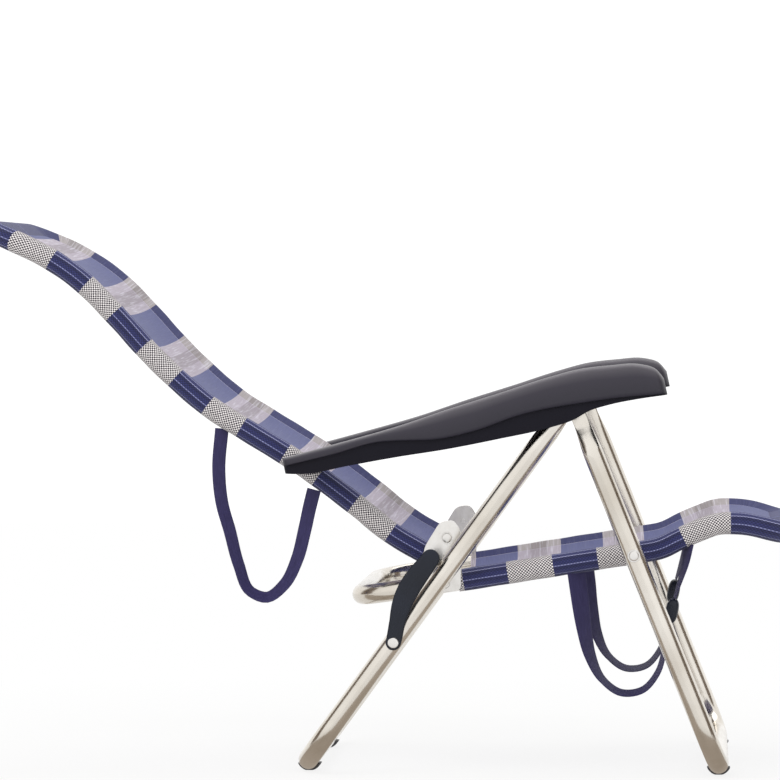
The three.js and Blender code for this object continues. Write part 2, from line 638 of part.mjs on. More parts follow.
for (const [word, sign] of sides) {
  addPiece(`link_${word}`, cut(
    sidePlate(linkOutline(), sign, LINK_INNER_FACE, LINK_OUTER_FACE),
    hole(LINK_TOP_PIVOT, sign, PIN_RADIUS, LINK_INNER_FACE),
    hole(LINK_LOW_PIVOT, sign, PIN_RADIUS, LINK_INNER_FACE),
  ), linkPlastic);
  addPiece(`link_rivet_${word}`, turnedPin(LINK_LOW_PIVOT, sign, [
    [PIN_RADIUS, LINK_INNER_FACE - FIT_GAP, linkHead],
    [HEAD_RADIUS, linkHead, linkHead + HEAD_THICKNESS],
  ]), bracketMetal);
}

// Armrests: channels open below, turned on the back and carried by the apex pins
function armPoint([along, across]) {
  const x = along * ARM_LENGTH;
  const z = across * ARM_LENGTH;
  return flatPoint(
    ARM_PIVOT,
    x * Math.cos(ARM_INCLINE) - z * Math.sin(ARM_INCLINE),
    x * Math.sin(ARM_INCLINE) + z * Math.cos(ARM_INCLINE),
  );
}

// A place in side view as shares of the armrest's length, along and across it.
function armShares(point) {
  const forward = point.x - ARM_PIVOT.x;
  const up = point.z - ARM_PIVOT.z;
  return [
    (forward * Math.cos(ARM_INCLINE) + up * Math.sin(ARM_INCLINE)) / ARM_LENGTH,
    (up * Math.cos(ARM_INCLINE) - forward * Math.sin(ARM_INCLINE)) / ARM_LENGTH,
  ];
}

const wallShare = ARM_WALL / ARM_LENGTH;
const clearShare = FIT_GAP / ARM_LENGTH;
const ceilingShare = wallShare * 1.1;

function topHeightShare(along) {
  const next = armTopShares.findIndex(([x]) => x >= along);
  const [x0, z0] = armTopShares[next - 1];
  const [x1, z1] = armTopShares[next];
  return z0 + ((z1 - z0) * (along - x0)) / (x1 - x0);
}

const underTop = (from, to, drop) => [
  [from, topHeightShare(from) - drop],
  ...armTopShares.filter(([x]) => x > from && x < to).map(([x, z]) => [x, z - drop]),
  [to, topHeightShare(to) - drop],
];

function armrest(sign) {
  const shell = sidePlate(
    [...armTopShares, ...armBottomShares].map(armPoint), sign, ARM_INNER_FACE, ARM_OUTER_FACE);
  const rear = armTopShares[0][0] + wallShare;
  const nose = armTopShares.at(-1)[0] - 2 * wallShare;
  const below = (-2 * CUT_OVERRUN) / ARM_LENGTH;
  const hollow = [...underTop(rear, nose, ceilingShare), [nose, below], [rear, below]];
  return cut(
    shell,
    sidePlate(hollow.map(armPoint), sign, ARM_INNER_FACE + ARM_WALL, ARM_OUTER_FACE - ARM_WALL),
    bar(ARM_PIVOT, sign, ARM_PIN_RADIUS + FIT_GAP, ARM_INNER_FACE - CUT_OVERRUN, ARM_HALF_SPAN),
  );
}

// The rack hangs from the armrest's ceiling: notches for the apex pin to settle in
function rack(sign) {
  const lift = (PIN_RADIUS + RACK_TIP_GAP) / ARM_LENGTH;
  const depth = NOTCH_DEPTH / ARM_LENGTH;
  const [flatX, flatZ] = armShares(APEX);
  const uprightX = flatX - PIN_SLIDE[0] / ARM_LENGTH;
  const uprightZ = flatZ - PIN_SLIDE[1] / ARM_LENGTH;
  const from = uprightX - RACK_END_SHARE;
  const to = flatX + RACK_END_SHARE;
  const slope = (flatZ - uprightZ) / (flatX - uprightX);
  const tip = (x, deep = 0) => [x, uprightZ + (x - uprightX) * slope + lift + deep];
  const pitch = (to - from) / RACK_NOTCHES;
  const teeth = Array.from({ length: RACK_NOTCHES }, (_, k) => {
    const start = from + k * pitch;
    return [
      tip(start + 0.15 * pitch),
      tip(start + 0.3 * pitch, depth),
      tip(start + 0.7 * pitch, depth),
      tip(start + 0.85 * pitch),
    ];
  }).flat();
  const roof = underTop(from, to, ceilingShare + clearShare).reverse();
  const outline = [tip(from), ...teeth, tip(to), ...roof];
  return sidePlate(outline.map(armPoint), sign, RACK_INNER_FACE, ARM_OUTER_FACE - ARM_WALL - FIT_GAP);
}

for (const [word, sign] of sides) {
  addPiece(`armrest_${word}`, armrest(sign), armPlastic);
  addPiece(`rack_${word}`, rack(sign), linkPlastic);
  addPiece(`armrest_pin_${word}`, turnedPin(ARM_PIVOT, sign, [
    [ARM_PIN_RADIUS, TUBE_FACE, ARM_OUTER_FACE - ARM_WALL - RUNNING_GAP],
  ]), bracketMetal);
}

// Webbing: ribbons whose width turns from lying along the rail to lying across the chair
function ribbon(points, y, width, turnStations, alongWay) {
  const acrossWay = new THREE.Vector3(0, 1, 0);
  return sheet(points.map((point, i) => {
    const t = turnStations ? THREE.MathUtils.smoothstep(i, 0, turnStations) : 1;
    const way = alongWay.clone().multiplyScalar(1 - t).addScaledVector(acrossWay, t).normalize();
    return [-1, 1].map((side) => acrossAt(point, y).addScaledVector(way, (side * width) / 2));
  }), STRAP_THICKNESS);
}

const routeFrom = (origin, route) => route.map(([forward, up]) => offset(origin, forward, up));

for (const [word, sign] of sides) {
  const y = sign * FRAME_HALF_SPAN;
  addPiece(`seat_strap_${word}`, ribbon(
    routeFrom(SEAT_PIVOT, seatStrapRoute), y, STRAP_WIDTH, STRAP_TURN_STATIONS, railSlope,
  ), navyWebbing);
  addPiece(`strap_tab_${word}`, ribbon(
    routeFrom(SEAT_PIVOT, tabStrapRoute), y, STRAP_WIDTH, 0, railSlope,
  ), navyWebbing);
  const clip = new THREE.CylinderGeometry(
    CLIP_HALF_HEIGHT, CLIP_HALF_HEIGHT, STRAP_WIDTH + 2 * CLIP_SIDE_WALL, PIN_SIDES);
  clip.scale(CLIP_HALF_DEPTH / CLIP_HALF_HEIGHT, 1, 1);
  clip.rotateY(CLIP_TILT);
  clip.translate(SEAT_PIVOT.x + clipPlace[0], y, SEAT_PIVOT.z + clipPlace[1]);
  addPiece(`strap_clip_${word}`, clip, linkPlastic);
}
addPiece("back_carry_strap", ribbon(
  routeFrom(HINGE, carryStrapRoute), -FRAME_HALF_SPAN, CARRY_STRAP_WIDTH, 0, railSlope,
), navyWebbing);

// The origin is put at the middle of the footprint, on the floor.
const box = new THREE.Box3().setFromObject(chair);
const middle = box.getCenter(new THREE.Vector3());
chair.children.forEach((mesh) => mesh.geometry.translate(-middle.x, -middle.y, -box.min.z));

export default chair;
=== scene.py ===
"""A folding lawn chair with a striped sling seat, laid back as far as it goes.

All lengths are in millimetres in the row frame (x forward, z up, y to the left), until make_piece
turns them to metres. Every rail is a line in the x, z plane, and a tube or sleeve follows two rails
and the bar between them.
"""

import json
import math

import bmesh
import bpy
import numpy as np
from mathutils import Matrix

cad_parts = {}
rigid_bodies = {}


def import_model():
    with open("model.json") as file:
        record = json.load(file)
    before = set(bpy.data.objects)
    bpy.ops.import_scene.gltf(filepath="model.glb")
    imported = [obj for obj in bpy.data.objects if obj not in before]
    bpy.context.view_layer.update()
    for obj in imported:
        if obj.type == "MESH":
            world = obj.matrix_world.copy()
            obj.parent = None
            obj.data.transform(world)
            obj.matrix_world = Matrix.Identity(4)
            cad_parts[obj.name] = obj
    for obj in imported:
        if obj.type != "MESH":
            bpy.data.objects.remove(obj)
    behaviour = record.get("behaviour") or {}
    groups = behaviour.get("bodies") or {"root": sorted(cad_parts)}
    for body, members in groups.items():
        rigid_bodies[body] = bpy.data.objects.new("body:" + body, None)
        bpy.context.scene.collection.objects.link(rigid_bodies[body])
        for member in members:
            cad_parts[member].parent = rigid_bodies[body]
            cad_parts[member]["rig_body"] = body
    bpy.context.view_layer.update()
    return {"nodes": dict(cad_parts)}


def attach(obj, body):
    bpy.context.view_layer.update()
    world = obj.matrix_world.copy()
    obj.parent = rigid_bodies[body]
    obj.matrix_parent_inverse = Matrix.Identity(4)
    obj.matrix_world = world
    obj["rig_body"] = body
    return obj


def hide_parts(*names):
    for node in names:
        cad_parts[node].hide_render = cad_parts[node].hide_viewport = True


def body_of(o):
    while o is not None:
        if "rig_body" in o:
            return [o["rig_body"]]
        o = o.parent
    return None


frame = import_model()

MM = 0.001
NODES = frame["nodes"]
SIDES = (("right", -1), ("left", 1))

# Joints and bars: (x, z)
APEX = np.array([258.848, 527.8])
SEAT_PIVOT = np.array([345.671, 310.827])
LINK_LOW_PIVOT = np.array([10.977, 187.628])
HINGE = np.array([81.071, 295.427])
LINK_TOP_PIVOT = np.array([62.871, 305.227])
UPPER_RIVET = np.array([83.871, 331.827])
BRACKET_BOLT = np.array([81.071, 268.03])
ARM_PIVOT = np.array([-120.329, 432.484])
FRONT_FOOT = np.array([463.248, 17.0])
REAR_FOOT = np.array([-113.352, 17.0])
SEAT_REAR_BAR = np.array([-39.486, 248.531])

# Tubes and their distances from the middle of the chair
TUBE_RADIUS = 14.0
FRAME_HALF_SPAN = 222.0
REAR_LEG_HALF_SPAN = 259.0
FRONT_LEG_HALF_SPAN = 289.6
REAR_TANG_CENTRE = 268.6
FRONT_TANG_CENTRE = 276.0
BACK_TANG_CENTRE = 232.0
TANG_THICKNESS = 6.0
LEG_TANG_HALF_HEIGHT = 11.0
BACK_TANG_HALF_HEIGHT = 9.5
LEG_BEND_RADIUS = 62.0
SEAT_BEND_RADIUS = 55.0
BACK_BEND_RADIUS = 60.0
PLATE_FACES = (238.5, 241.5)
LINK_FACES = (274.1, 281.1)
LINK_CROWN = 2.6
LINK_BOW = 11.0
LINK_SWELL = 3.4
ARM_CENTRE = 272.0
ARM_LENGTH = 535.0
ARM_INCLINE = math.radians(12.1)

# Each leg: its foot, its half span and the layer of its tangs
LEGS = (
    ("front", FRONT_FOOT, FRONT_LEG_HALF_SPAN, FRONT_TANG_CENTRE),
    ("rear", REAR_FOOT, REAR_LEG_HALF_SPAN, REAR_TANG_CENTRE),
)

# Rails
SEAT_LENGTH = 599.0
SEAT_SLEEVE_BEHIND_PIVOT = 250.0
SEAT_JOINT_BEHIND_PIVOT = 229.0
SEAT_SHARES = np.array([
    [0.643, 0.104], [0.703, 0.1155], [0.748, 0.137], [0.795, 0.158],
    [0.836, 0.172], [0.876, 0.174], [1.0, 0.149],
])
BACK_NECK = 14.0
BACK_SIZE = np.array([-641.4, 464.6])
BACK_SHARES = np.array([
    [0.048, 0.033], [0.118, 0.09], [0.196, 0.175], [0.314, 0.295], [0.434, 0.398],
    [0.517, 0.47], [0.587, 0.551], [0.659, 0.648], [0.712, 0.729], [0.81, 0.862],
    [0.86, 0.91], [0.908, 0.946], [1.0, 1.0],
])

# Surface helpers


def spline(points, step=6.0):
    """A smooth line through points, sampled every step mm.

    Each span is the cubic that leaves and meets its ends with the slopes found from the chord
    lengths on both sides of them.
    """
    points = np.asarray(points, float)
    chord = np.linalg.norm(np.diff(points, axis=0), axis=1)
    knots = np.concatenate([[0.0], np.cumsum(chord)])
    slopes = np.gradient(points, knots, axis=0)
    where = np.linspace(0.0, knots[-1], max(int(knots[-1] / step), 2) + 1)
    span = np.clip(np.searchsorted(knots, where, side="right") - 1, 0, len(chord) - 1)
    reach = chord[span][:, None]
    t = ((where - knots[span]) / chord[span])[:, None]
    return (
        (2 * t**3 - 3 * t**2 + 1) * points[span]
        + (t**3 - 2 * t**2 + t) * reach * slopes[span]
        + (3 * t**2 - 2 * t**3) * points[span + 1]
        + (t**3 - t**2) * reach * slopes[span + 1]
    )


def run_of(line):
    """Distance along a line at each of its points."""
    return np.concatenate([[0.0], np.cumsum(np.linalg.norm(np.diff(line, axis=0), axis=1))])


def unit(vectors):
    """Vectors made one long."""
    return vectors / np.linalg.norm(vectors, axis=-1, keepdims=True)


def smoothstep(value, low, high):
    """0 below low, 1 above high, and 3t^2 - 2t^3 between them."""
    t = np.clip((value - low) / (high - low), 0.0, 1.0)
    return t * t * (3 - 2 * t)


def grid_faces(rows, columns, offset=0):
    """The quads between neighbouring points of a rows by columns grid."""
    i, j = np.meshgrid(np.arange(rows - 1), np.arange(columns - 1), indexing="ij")
    corner = i * columns + j
    quads = np.stack([corner, corner + columns, corner + columns + 1, corner + 1], axis=-1)
    return quads.reshape(-1, 4) + offset


def shell(outer, inner, ring=False):
    """A closed thin body: two grids of one size, and the strips that join their edges.

    On a ring the first and last columns are one line, so only the ends have strips.
    """
    rows, columns = outer.shape[:2]
    count = rows * columns
    number = np.arange(count).reshape(rows, columns)
    edges = [number[0], number[-1]]
    if not ring:
        edges += [number[:, 0], number[:, -1]]
    faces = [grid_faces(rows, columns), grid_faces(rows, columns, count)]
    for edge in edges:
        faces.append(np.stack([edge[:-1], edge[:-1] + count, edge[1:] + count, edge[1:]], axis=-1))
    return np.concatenate([outer.reshape(-1, 3), inner.reshape(-1, 3)]), faces


def capped(rings):
    """A solid swept through rings, a grid whose last column is its first, with a fan over each end."""
    rows, columns = rings.shape[:2]
    centres = rings[[0, -1], :-1].mean(axis=1)
    points = np.concatenate([rings.reshape(-1, 3), centres])
    first = np.arange(columns)
    last = first + (rows - 1) * columns
    faces = [grid_faces(rows, columns)]
    for line, centre in ((first, rows * columns), (last, rows * columns + 1)):
        faces.append(np.stack([line[:-1], line[1:], np.full(columns - 1, centre)], axis=-1))
    return points, faces


def put(name, data, place=(0.0, 0.0, 0.0), turn=(0.0, 0.0, 0.0)):
    """A new object in the scene."""
    made = bpy.data.objects.new(name, data)
    made.location = place
    made.rotation_euler = turn
    bpy.context.scene.collection.objects.link(made)
    return made


def make_piece(name, node, points, faces, slot, material=None, uv=None, crease=40.0):
    """A mesh object from points in mm and groups of quads or triangles, welded, facing outwards.

    It takes the place and the body of a CAD node, and its slot's finish unless a material is given.
    uv holds two lengths in mm for each point, kept in metres.
    """
    mesh = bpy.data.meshes.new(name)
    lists = [face for group in faces for face in group.tolist()]
    mesh.from_pydata((points.reshape(-1, 3) * MM).tolist(), [], lists)
    if uv is not None:
        corners = np.empty(len(mesh.loops), dtype=np.int32)
        mesh.loops.foreach_get("vertex_index", corners)
        layer = mesh.uv_layers.new(name="lengths")
        padded = np.zeros((len(mesh.vertices), 2))
        padded[: len(uv)] = np.asarray(uv) * MM
        layer.data.foreach_set("uv", padded[corners].astype(np.float32).ravel())
    shape = bmesh.new()
    shape.from_mesh(mesh)
    bmesh.ops.remove_doubles(shape, verts=shape.verts, dist=1e-6)
    bmesh.ops.dissolve_degenerate(shape, edges=shape.edges, dist=1e-7)
    bmesh.ops.recalc_face_normals(shape, faces=shape.faces)
    shape.to_mesh(mesh)
    shape.free()
    mesh.polygons.foreach_set("use_smooth", np.ones(len(mesh.polygons), dtype=bool))
    mesh.set_sharp_from_angle(angle=math.radians(crease))
    mesh.materials.append(FINISHES[slot] if material is None else material)
    piece = put(name, mesh)
    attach(piece, body_of(NODES[node])[0])
    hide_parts(node)
    return piece


def lift(flat, y):
    """Points (x, z) and a distance across as (x, y, z)."""
    flat = np.asarray(flat, float)
    return np.stack([flat[..., 0], np.broadcast_to(y, flat.shape[:-1]), flat[..., 1]], axis=-1)


def ways_at(angle):
    """The ways (cos, sin) at angles."""
    return np.stack([np.cos(angle), np.sin(angle)], axis=-1)


def quarter(ways):
    """Ways (x, z) turned a quarter, from x towards z."""
    return np.stack([-ways[..., 1], ways[..., 0]], axis=-1)


def laid(place, way, a, b):
    """Points at a along a way from a place, and b along the way a quarter on from it."""
    return place + (a[..., None] * way + b[..., None] * quarter(way))


def swept(path, out, a, up, b):
    """Sections along a path, their points at a along its outward ways and b along its upward ones."""
    return path[:, None] + a[..., None] * out[:, None] + b[..., None] * up[:, None]


def along(run, values, s):
    """Rows of values, known at the distances run, at the distances s."""
    return np.stack([np.interp(s, run, column) for column in values.T], axis=-1)


def grid_uv(u, v):
    """Two lengths for every point of a grid: u is known for each row, v for each column or point."""
    return np.stack(np.broadcast_arrays(u[:, None], v), axis=-1).reshape(-1, 2)


def powered(wave, power):
    """A sine or cosine with its size raised to a power, as superellipses have."""
    return np.sign(wave) * np.abs(wave) ** power


def aimed(place, target):
    """The turn that makes a camera or lamp at a place look at a target."""
    way = np.array(target) - np.array(place)
    return (math.atan2(math.hypot(way[0], way[1]), -way[2]), 0.0, math.atan2(-way[0], way[1]))


# Materials


def srgb(code):
    """An sRGB hex colour as the linear colour that a socket takes."""
    parts = np.array([int(code[i:i + 2], 16) for i in (1, 3, 5)]) / 255
    linear = np.where(parts <= 0.04045, parts / 12.92, ((parts + 0.055) / 1.055) ** 2.4)
    return (*linear.tolist(), 1.0)


def add(tree, kind, inputs=None, stops=None, hard=False, **settings):
    """One node with its settings, its ramp stops, hard-edged or blended, and its inputs.

    An input is a value, an output socket, or a node, which stands for its first output in use.
    """
    made = tree.nodes.new("ShaderNode" + kind)
    for name, value in settings.items():
        setattr(made, name, value)
    if stops:
        elements = made.color_ramp.elements
        while len(elements) < len(stops):
            elements.new(1.0)
        for element, (place, code) in zip(elements, stops):
            element.position = place
            element.color = srgb(code)
        if hard:
            made.color_ramp.interpolation = "CONSTANT"
    for name, value in (inputs or {}).items():
        if isinstance(value, bpy.types.Node):
            value = next(output for output in value.outputs if output.enabled)
        if isinstance(value, bpy.types.NodeSocket):
            tree.links.new(value, made.inputs[name])
        else:
            made.inputs[name].default_value = value
    return made


def new_material(name, look, *settings):
    """A material whose surface is the shader that a look builds in its empty tree."""
    made = bpy.data.materials.new(name)
    made.use_nodes = True
    made.node_tree.nodes.clear()
    add(made.node_tree, "OutputMaterial", {"Surface": look(made.node_tree, *settings)})
    return made


def stretched_noise(tree, vector, scale, detail=3.0, roughness=0.55):
    """Noise on a vector whose three axes are scaled separately: long streaks where a scale is small."""
    placed = add(tree, "Mapping", {"Vector": vector, "Scale": scale})
    return add(tree, "TexNoise", {
        "Vector": placed, "Scale": 1.0, "Detail": detail, "Roughness": roughness,
    })


def even_noise(tree, scale, detail=3.0):
    """Noise of one scale every way, on the object's own coordinates."""
    place = add(tree, "TexCoord")
    return stretched_noise(tree, place.outputs["Object"], (scale,) * 3, detail)


def weave(tree, parts, pitch_along, pitch_across):
    """The ups and downs of crossed yarns: a sine along the cloth times a sine across it."""
    waves = []
    for axis, pitch in (("X", pitch_along), ("Y", pitch_across)):
        turns = add(tree, "Math", {0: parts.outputs[axis], 1: 2 * math.pi / pitch}, operation="MULTIPLY")
        waves.append(add(tree, "Math", {0: turns}, operation="SINE"))
    return add(tree, "Math", {0: waves[0], 1: waves[1]}, operation="MULTIPLY")


def drawn_aluminium(tree, colour, roughness, streaks):
    """Drawn aluminium tube with a satin anodised skin: fine lines along the draw, soft bright bands."""
    lengths = add(tree, "UVMap", uv_map="lengths")
    # Draw lines about 1 mm apart round the tube and 120 mm long
    lines = stretched_noise(tree, lengths, (8.0, 950.0, 1.0))
    clouds = even_noise(tree, 9.0, detail=4.0)
    tint = add(tree, "ValToRGB", {"Fac": clouds}, stops=[(0.3, colour[0]), (0.7, colour[1])])
    gloss = add(tree, "MapRange", {
        "Value": lines, "From Min": 0.3, "From Max": 0.7,
        "To Min": roughness - streaks, "To Max": roughness + streaks,
    })
    bump = add(tree, "Bump", {"Height": lines, "Strength": 0.12, "Distance": 0.0003})
    return add(tree, "BsdfPrincipled", {
        "Base Color": tint, "Metallic": 1.0, "Roughness": gloss, "Normal": bump,
    })


def pressed_aluminium(tree, colour, roughness):
    """Pressed aluminium plate and rivets, tumbled: a pale skin, smooth, and faintly clouded."""
    # Tumbling leaves soft clouds about 11 mm across
    marks = even_noise(tree, 90.0, detail=2.0)
    tint = add(tree, "ValToRGB", {"Fac": marks}, stops=[(0.3, colour[0]), (0.75, colour[1])])
    gloss = add(tree, "MapRange", {
        "Value": marks, "From Min": 0.3, "From Max": 0.7,
        "To Min": roughness - 0.03, "To Max": roughness + 0.04,
    })
    return add(tree, "BsdfPrincipled", {"Base Color": tint, "Metallic": 1.0, "Roughness": gloss})


def moulded_plastic(tree, colour, roughness, grain):
    """Moulded polypropylene or nylon: a fine spark grain that breaks up the shine, faint flow clouds."""
    grains = even_noise(tree, 1000 / grain, detail=2.0)
    clouds = even_noise(tree, 14.0)
    tint = add(tree, "ValToRGB", {"Fac": clouds}, stops=[(0.3, colour[0]), (0.7, colour[1])])
    gloss = add(tree, "MapRange", {
        "Value": clouds, "From Min": 0.3, "From Max": 0.7,
        "To Min": roughness - 0.05, "To Max": roughness + 0.06,
    })
    bump = add(tree, "Bump", {"Height": grains, "Strength": 0.35, "Distance": 0.0004})
    return add(tree, "BsdfPrincipled", {
        "Base Color": tint, "Roughness": gloss, "Specular IOR Level": 0.32, "Normal": bump,
    })


def armrest_plastic(tree):
    """Soft-touch polypropylene, dark anthracite: matt skirt painted near black as shade under the lip,
    satin side, a crown painted paler as lit from above. v is the lane that arm_grid gives.
    """
    lengths = add(tree, "UVMap", uv_map="lengths")
    parts = add(tree, "SeparateXYZ", {"Vector": lengths})
    clouds = even_noise(tree, 14.0)
    grains = even_noise(tree, 1100.0, detail=2.0)
    lane = add(tree, "MapRange", {"Value": parts.outputs["Y"], "From Min": -1.0})
    # The lane picks painted light: the skirt near black as shade under the lip, the crown paler as lit
    # from above
    painted_light_lane = add(tree, "Math", {0: clouds, 1: 0.04, 2: lane}, operation="MULTIPLY_ADD")
    tint = add(tree, "ValToRGB", {"Fac": painted_light_lane}, stops=[
        (0.0, "#16151d"), (0.5, "#17161e"), (0.54, "#28262f"), (0.82, "#2f2c36"), (0.94, "#46434a"),
        (1.0, "#57535a"),
    ])
    gloss = add(tree, "MapRange", {"Value": lane, "From Min": 0.5, "To Min": 0.58, "To Max": 0.42})
    shine = add(tree, "MapRange", {
        "Value": lane, "From Min": 0.5, "From Max": 0.56, "To Min": 0.12, "To Max": 0.4,
    })
    bump = add(tree, "Bump", {"Height": grains, "Strength": 0.3, "Distance": 0.0003})
    return add(tree, "BsdfPrincipled", {
        "Base Color": tint, "Roughness": gloss, "Specular IOR Level": shine, "Normal": bump,
    })


def woven_webbing(tree):
    """Polyester webbing, plain woven and dyed dark indigo: crosswise ribs 2.4 mm apart, a little fuzz."""
    lengths = add(tree, "UVMap", uv_map="lengths")
    parts = add(tree, "SeparateXYZ", {"Vector": lengths})
    ribs = weave(tree, parts, 0.0024, 0.003)
    fuzz = stretched_noise(tree, lengths, (60.0, 700.0, 1.0), detail=4.0)
    mixed = add(tree, "Math", {0: ribs, 1: 0.16, 2: fuzz}, operation="MULTIPLY_ADD")
    tint = add(tree, "ValToRGB", {"Fac": mixed}, stops=[
        (0.2, "#1e1940"), (0.5, "#2b2652"), (0.85, "#393462"),
    ])
    bump = add(tree, "Bump", {"Height": mixed, "Strength": 0.5, "Distance": 0.0005})
    return add(tree, "BsdfPrincipled", {
        "Base Color": tint, "Roughness": 0.72, "Normal": bump,
        "Sheen Weight": 0.12, "Sheen Roughness": 0.4,
    })


def stripe_stops(ends, total, navy, greys):
    """Ramp stops for stripes that take turns and end with navy, each grey one in three woven shares."""
    stops = []
    for number, (start, end) in enumerate(zip([0.0, *ends], [*ends, total])):
        if (len(ends) - number) % 2 == 0:
            stops.append((start / total, navy))
            continue
        for share, code in zip((0.0, 0.3, 0.68), greys):
            stops.append(((start + share * (end - start)) / total, code))
    return stops


def striped_cloth(tree, ends, total):
    """Coated polyester mesh cloth, yarn dyed in wide navy and grey stripes across the chair.

    u runs along the rail and v across, from the middle out over the rail and round under it. The
    body of the cloth is a fine chambray with streaks across. The selvedge that covers the outside of
    the rails is woven coarser: a black and white basket in the grey stripes, ruled lines in the navy.
    """
    lengths = add(tree, "UVMap", uv_map="lengths")
    parts = add(tree, "SeparateXYZ", {"Vector": lengths})
    lengthwise = add(tree, "Math", {0: parts.outputs["X"], 1: 1000 / total}, operation="MULTIPLY")
    across = add(tree, "Math", {0: parts.outputs["Y"]}, operation="ABSOLUTE")
    # The stripes of the panel and of the sleeve, and where they are navy
    panel, sleeve, navy_share = (
        add(tree, "ValToRGB", {"Fac": lengthwise}, stripe_stops(ends, total, navy, greys), hard=True)
        for navy, greys in (
            ("#4f557f", ("#a8a0aa", "#958d94", "#aca4ae")),
            ("#2b2f5a", ("#a29c9a", "#8c8684", "#a29c9a")),
            ("#ffffff", ("#000000",) * 3),
        ))

    # Basket weave of doubled yarns, 4.5 mm from one dark yarn to the next
    basket = weave(tree, parts, 0.0045, 0.0045)
    yarn = add(tree, "MapRange", {"Value": basket, "From Min": -0.2, "From Max": 0.2})
    basket_tint = add(tree, "ValToRGB", {"Fac": yarn}, stops=[
        (0.0, "#2a2630"), (0.5, "#8f888a"), (1.0, "#efebeb"),
    ])
    # Ruled lines: thin pale warps between dark ones, over the width that the selvedge shows
    place = add(tree, "MapRange", {
        "Value": across, "From Min": BAND_FROM * MM, "From Max": BAND_TO * MM,
    })
    ruled = add(tree, "ValToRGB", {"Fac": place}, stops=[
        (0.0, "#8b8fb8"), (0.035, "#2c3062"), (0.16, "#8f92b8"), (0.19, "#20234c"), (0.30, "#282c5c"),
        (0.42, "#787ca8"), (0.45, "#21244e"), (0.56, "#2a2e60"), (0.68, "#74789f"), (0.71, "#21244e"),
        (0.82, "#262a5a"),
    ], hard=True)
    dots = add(tree, "Mix", {
        "Factor": 0.4, "A": ruled, "B": basket_tint,
    }, data_type="RGBA", blend_type="OVERLAY")
    selvedge = add(tree, "Mix", {"Factor": navy_share, "A": basket_tint, "B": dots}, data_type="RGBA")
    in_band = add(tree, "Math", {0: across, 1: BAND_FROM * MM}, operation="GREATER_THAN")
    before_end = add(tree, "Math", {0: across, 1: BAND_TO * MM}, operation="LESS_THAN")
    band = add(tree, "Math", {0: in_band, 1: before_end}, operation="MULTIPLY")
    on_sleeve = add(tree, "Math", {0: across, 1: SEAM_ACROSS * MM}, operation="GREATER_THAN")

    streaks = stretched_noise(tree, lengths, (900.0, 26.0, 1.0), detail=4.0, roughness=0.7)
    streak_share = add(tree, "MapRange", {
        "Value": streaks, "From Min": 0.35, "From Max": 0.68, "To Max": 0.85,
    })
    # White and pale blue weft slubs, thick across the grey stripes and sparse in the navy
    weft_slubs = stretched_noise(tree, lengths, (340.0, 13.0, 1.0), roughness=0.6)
    slub = add(tree, "MapRange", {"Value": weft_slubs, "From Min": 0.5, "From Max": 0.68, "To Max": 0.5})
    slub_reach = add(tree, "MapRange", {"Value": navy_share, "To Min": 1.0, "To Max": 0.06})
    slub_share = add(tree, "Math", {0: slub, 1: slub_reach}, operation="MULTIPLY")
    # The stitched line: a pale thread in a shallow groove where the sleeve is closed
    from_seam = add(tree, "Math", {0: across, 1: SEAM_ACROSS * MM}, operation="SUBTRACT")
    seam_gap = add(tree, "Math", {0: from_seam}, operation="ABSOLUTE")
    on_seam = add(tree, "MapRange", {
        "Value": seam_gap, "From Min": 0.0006, "From Max": 0.0014, "To Min": 0.75, "To Max": 0.0,
    })
    # Each layer of colour lies over those before it
    colour = panel
    for share, layer, blend in (
        (on_sleeve, sleeve, "MIX"),
        (streak_share, srgb("#d9d4e2"), "SOFT_LIGHT"),
        (slub_share, srgb("#e6e5f0"), "MIX"),
        (on_seam, srgb("#cfcbdd"), "MIX"),
        (band, selvedge, "MIX"),
    ):
        colour = add(
            tree, "Mix", {"Factor": share, "A": colour, "B": layer}, data_type="RGBA", blend_type=blend)

    # Fine cloth relief everywhere, and the coarse basket's on the selvedge
    yarn_slubs = stretched_noise(tree, lengths, (70.0, 420.0, 1.0), detail=2.0)
    fine = add(tree, "Math", {0: streaks, 1: yarn_slubs}, operation="ADD")
    coarse = add(tree, "Math", {0: basket, 1: band}, operation="MULTIPLY")
    relief = add(tree, "Math", {0: coarse, 1: 1.2, 2: fine}, operation="MULTIPLY_ADD")
    groove = add(tree, "Math", {0: on_seam, 1: -1.5, 2: relief}, operation="MULTIPLY_ADD")
    bump = add(tree, "Bump", {"Height": groove, "Strength": 0.45, "Distance": 0.0005})
    return add(tree, "BsdfPrincipled", {
        "Base Color": colour, "Roughness": 0.82, "Normal": bump,
        "Sheen Weight": 0.1, "Sheen Roughness": 0.5,
    })


# Cloth: a distance across it runs from its middle to the seam, over the rail and back under it
CLOTH_RADIUS = 15.6
CLOTH_THICKNESS = 1.2
SEAM_INBOARD = 25.0
SEAM_RISE = 6.5
SEAM_ACROSS = FRAME_HALF_SPAN - SEAM_INBOARD
SEAM_REACH = math.hypot(SEAM_INBOARD, SEAM_RISE)
SEAM_TANGENT = math.sqrt(SEAM_REACH**2 - CLOTH_RADIUS**2)
SEAM_ANGLE = math.atan2(SEAM_RISE, -SEAM_INBOARD)
TANGENT_TURN = math.acos(CLOTH_RADIUS / SEAM_REACH)
SLEEVE_FIRST_ANGLE = SEAM_ANGLE - TANGENT_TURN
SLEEVE_LAST_ANGLE = SEAM_ANGLE + TANGENT_TURN - 2 * math.pi
BAND_TOP_ANGLE = math.radians(74.0)
BAND_LOW_ANGLE = math.radians(-100.0)
BAND_FROM = SEAM_ACROSS + SEAM_TANGENT + CLOTH_RADIUS * (SLEEVE_FIRST_ANGLE - BAND_TOP_ANGLE)
BAND_TO = SEAM_ACROSS + SEAM_TANGENT + CLOTH_RADIUS * (SLEEVE_FIRST_ANGLE - BAND_LOW_ANGLE)

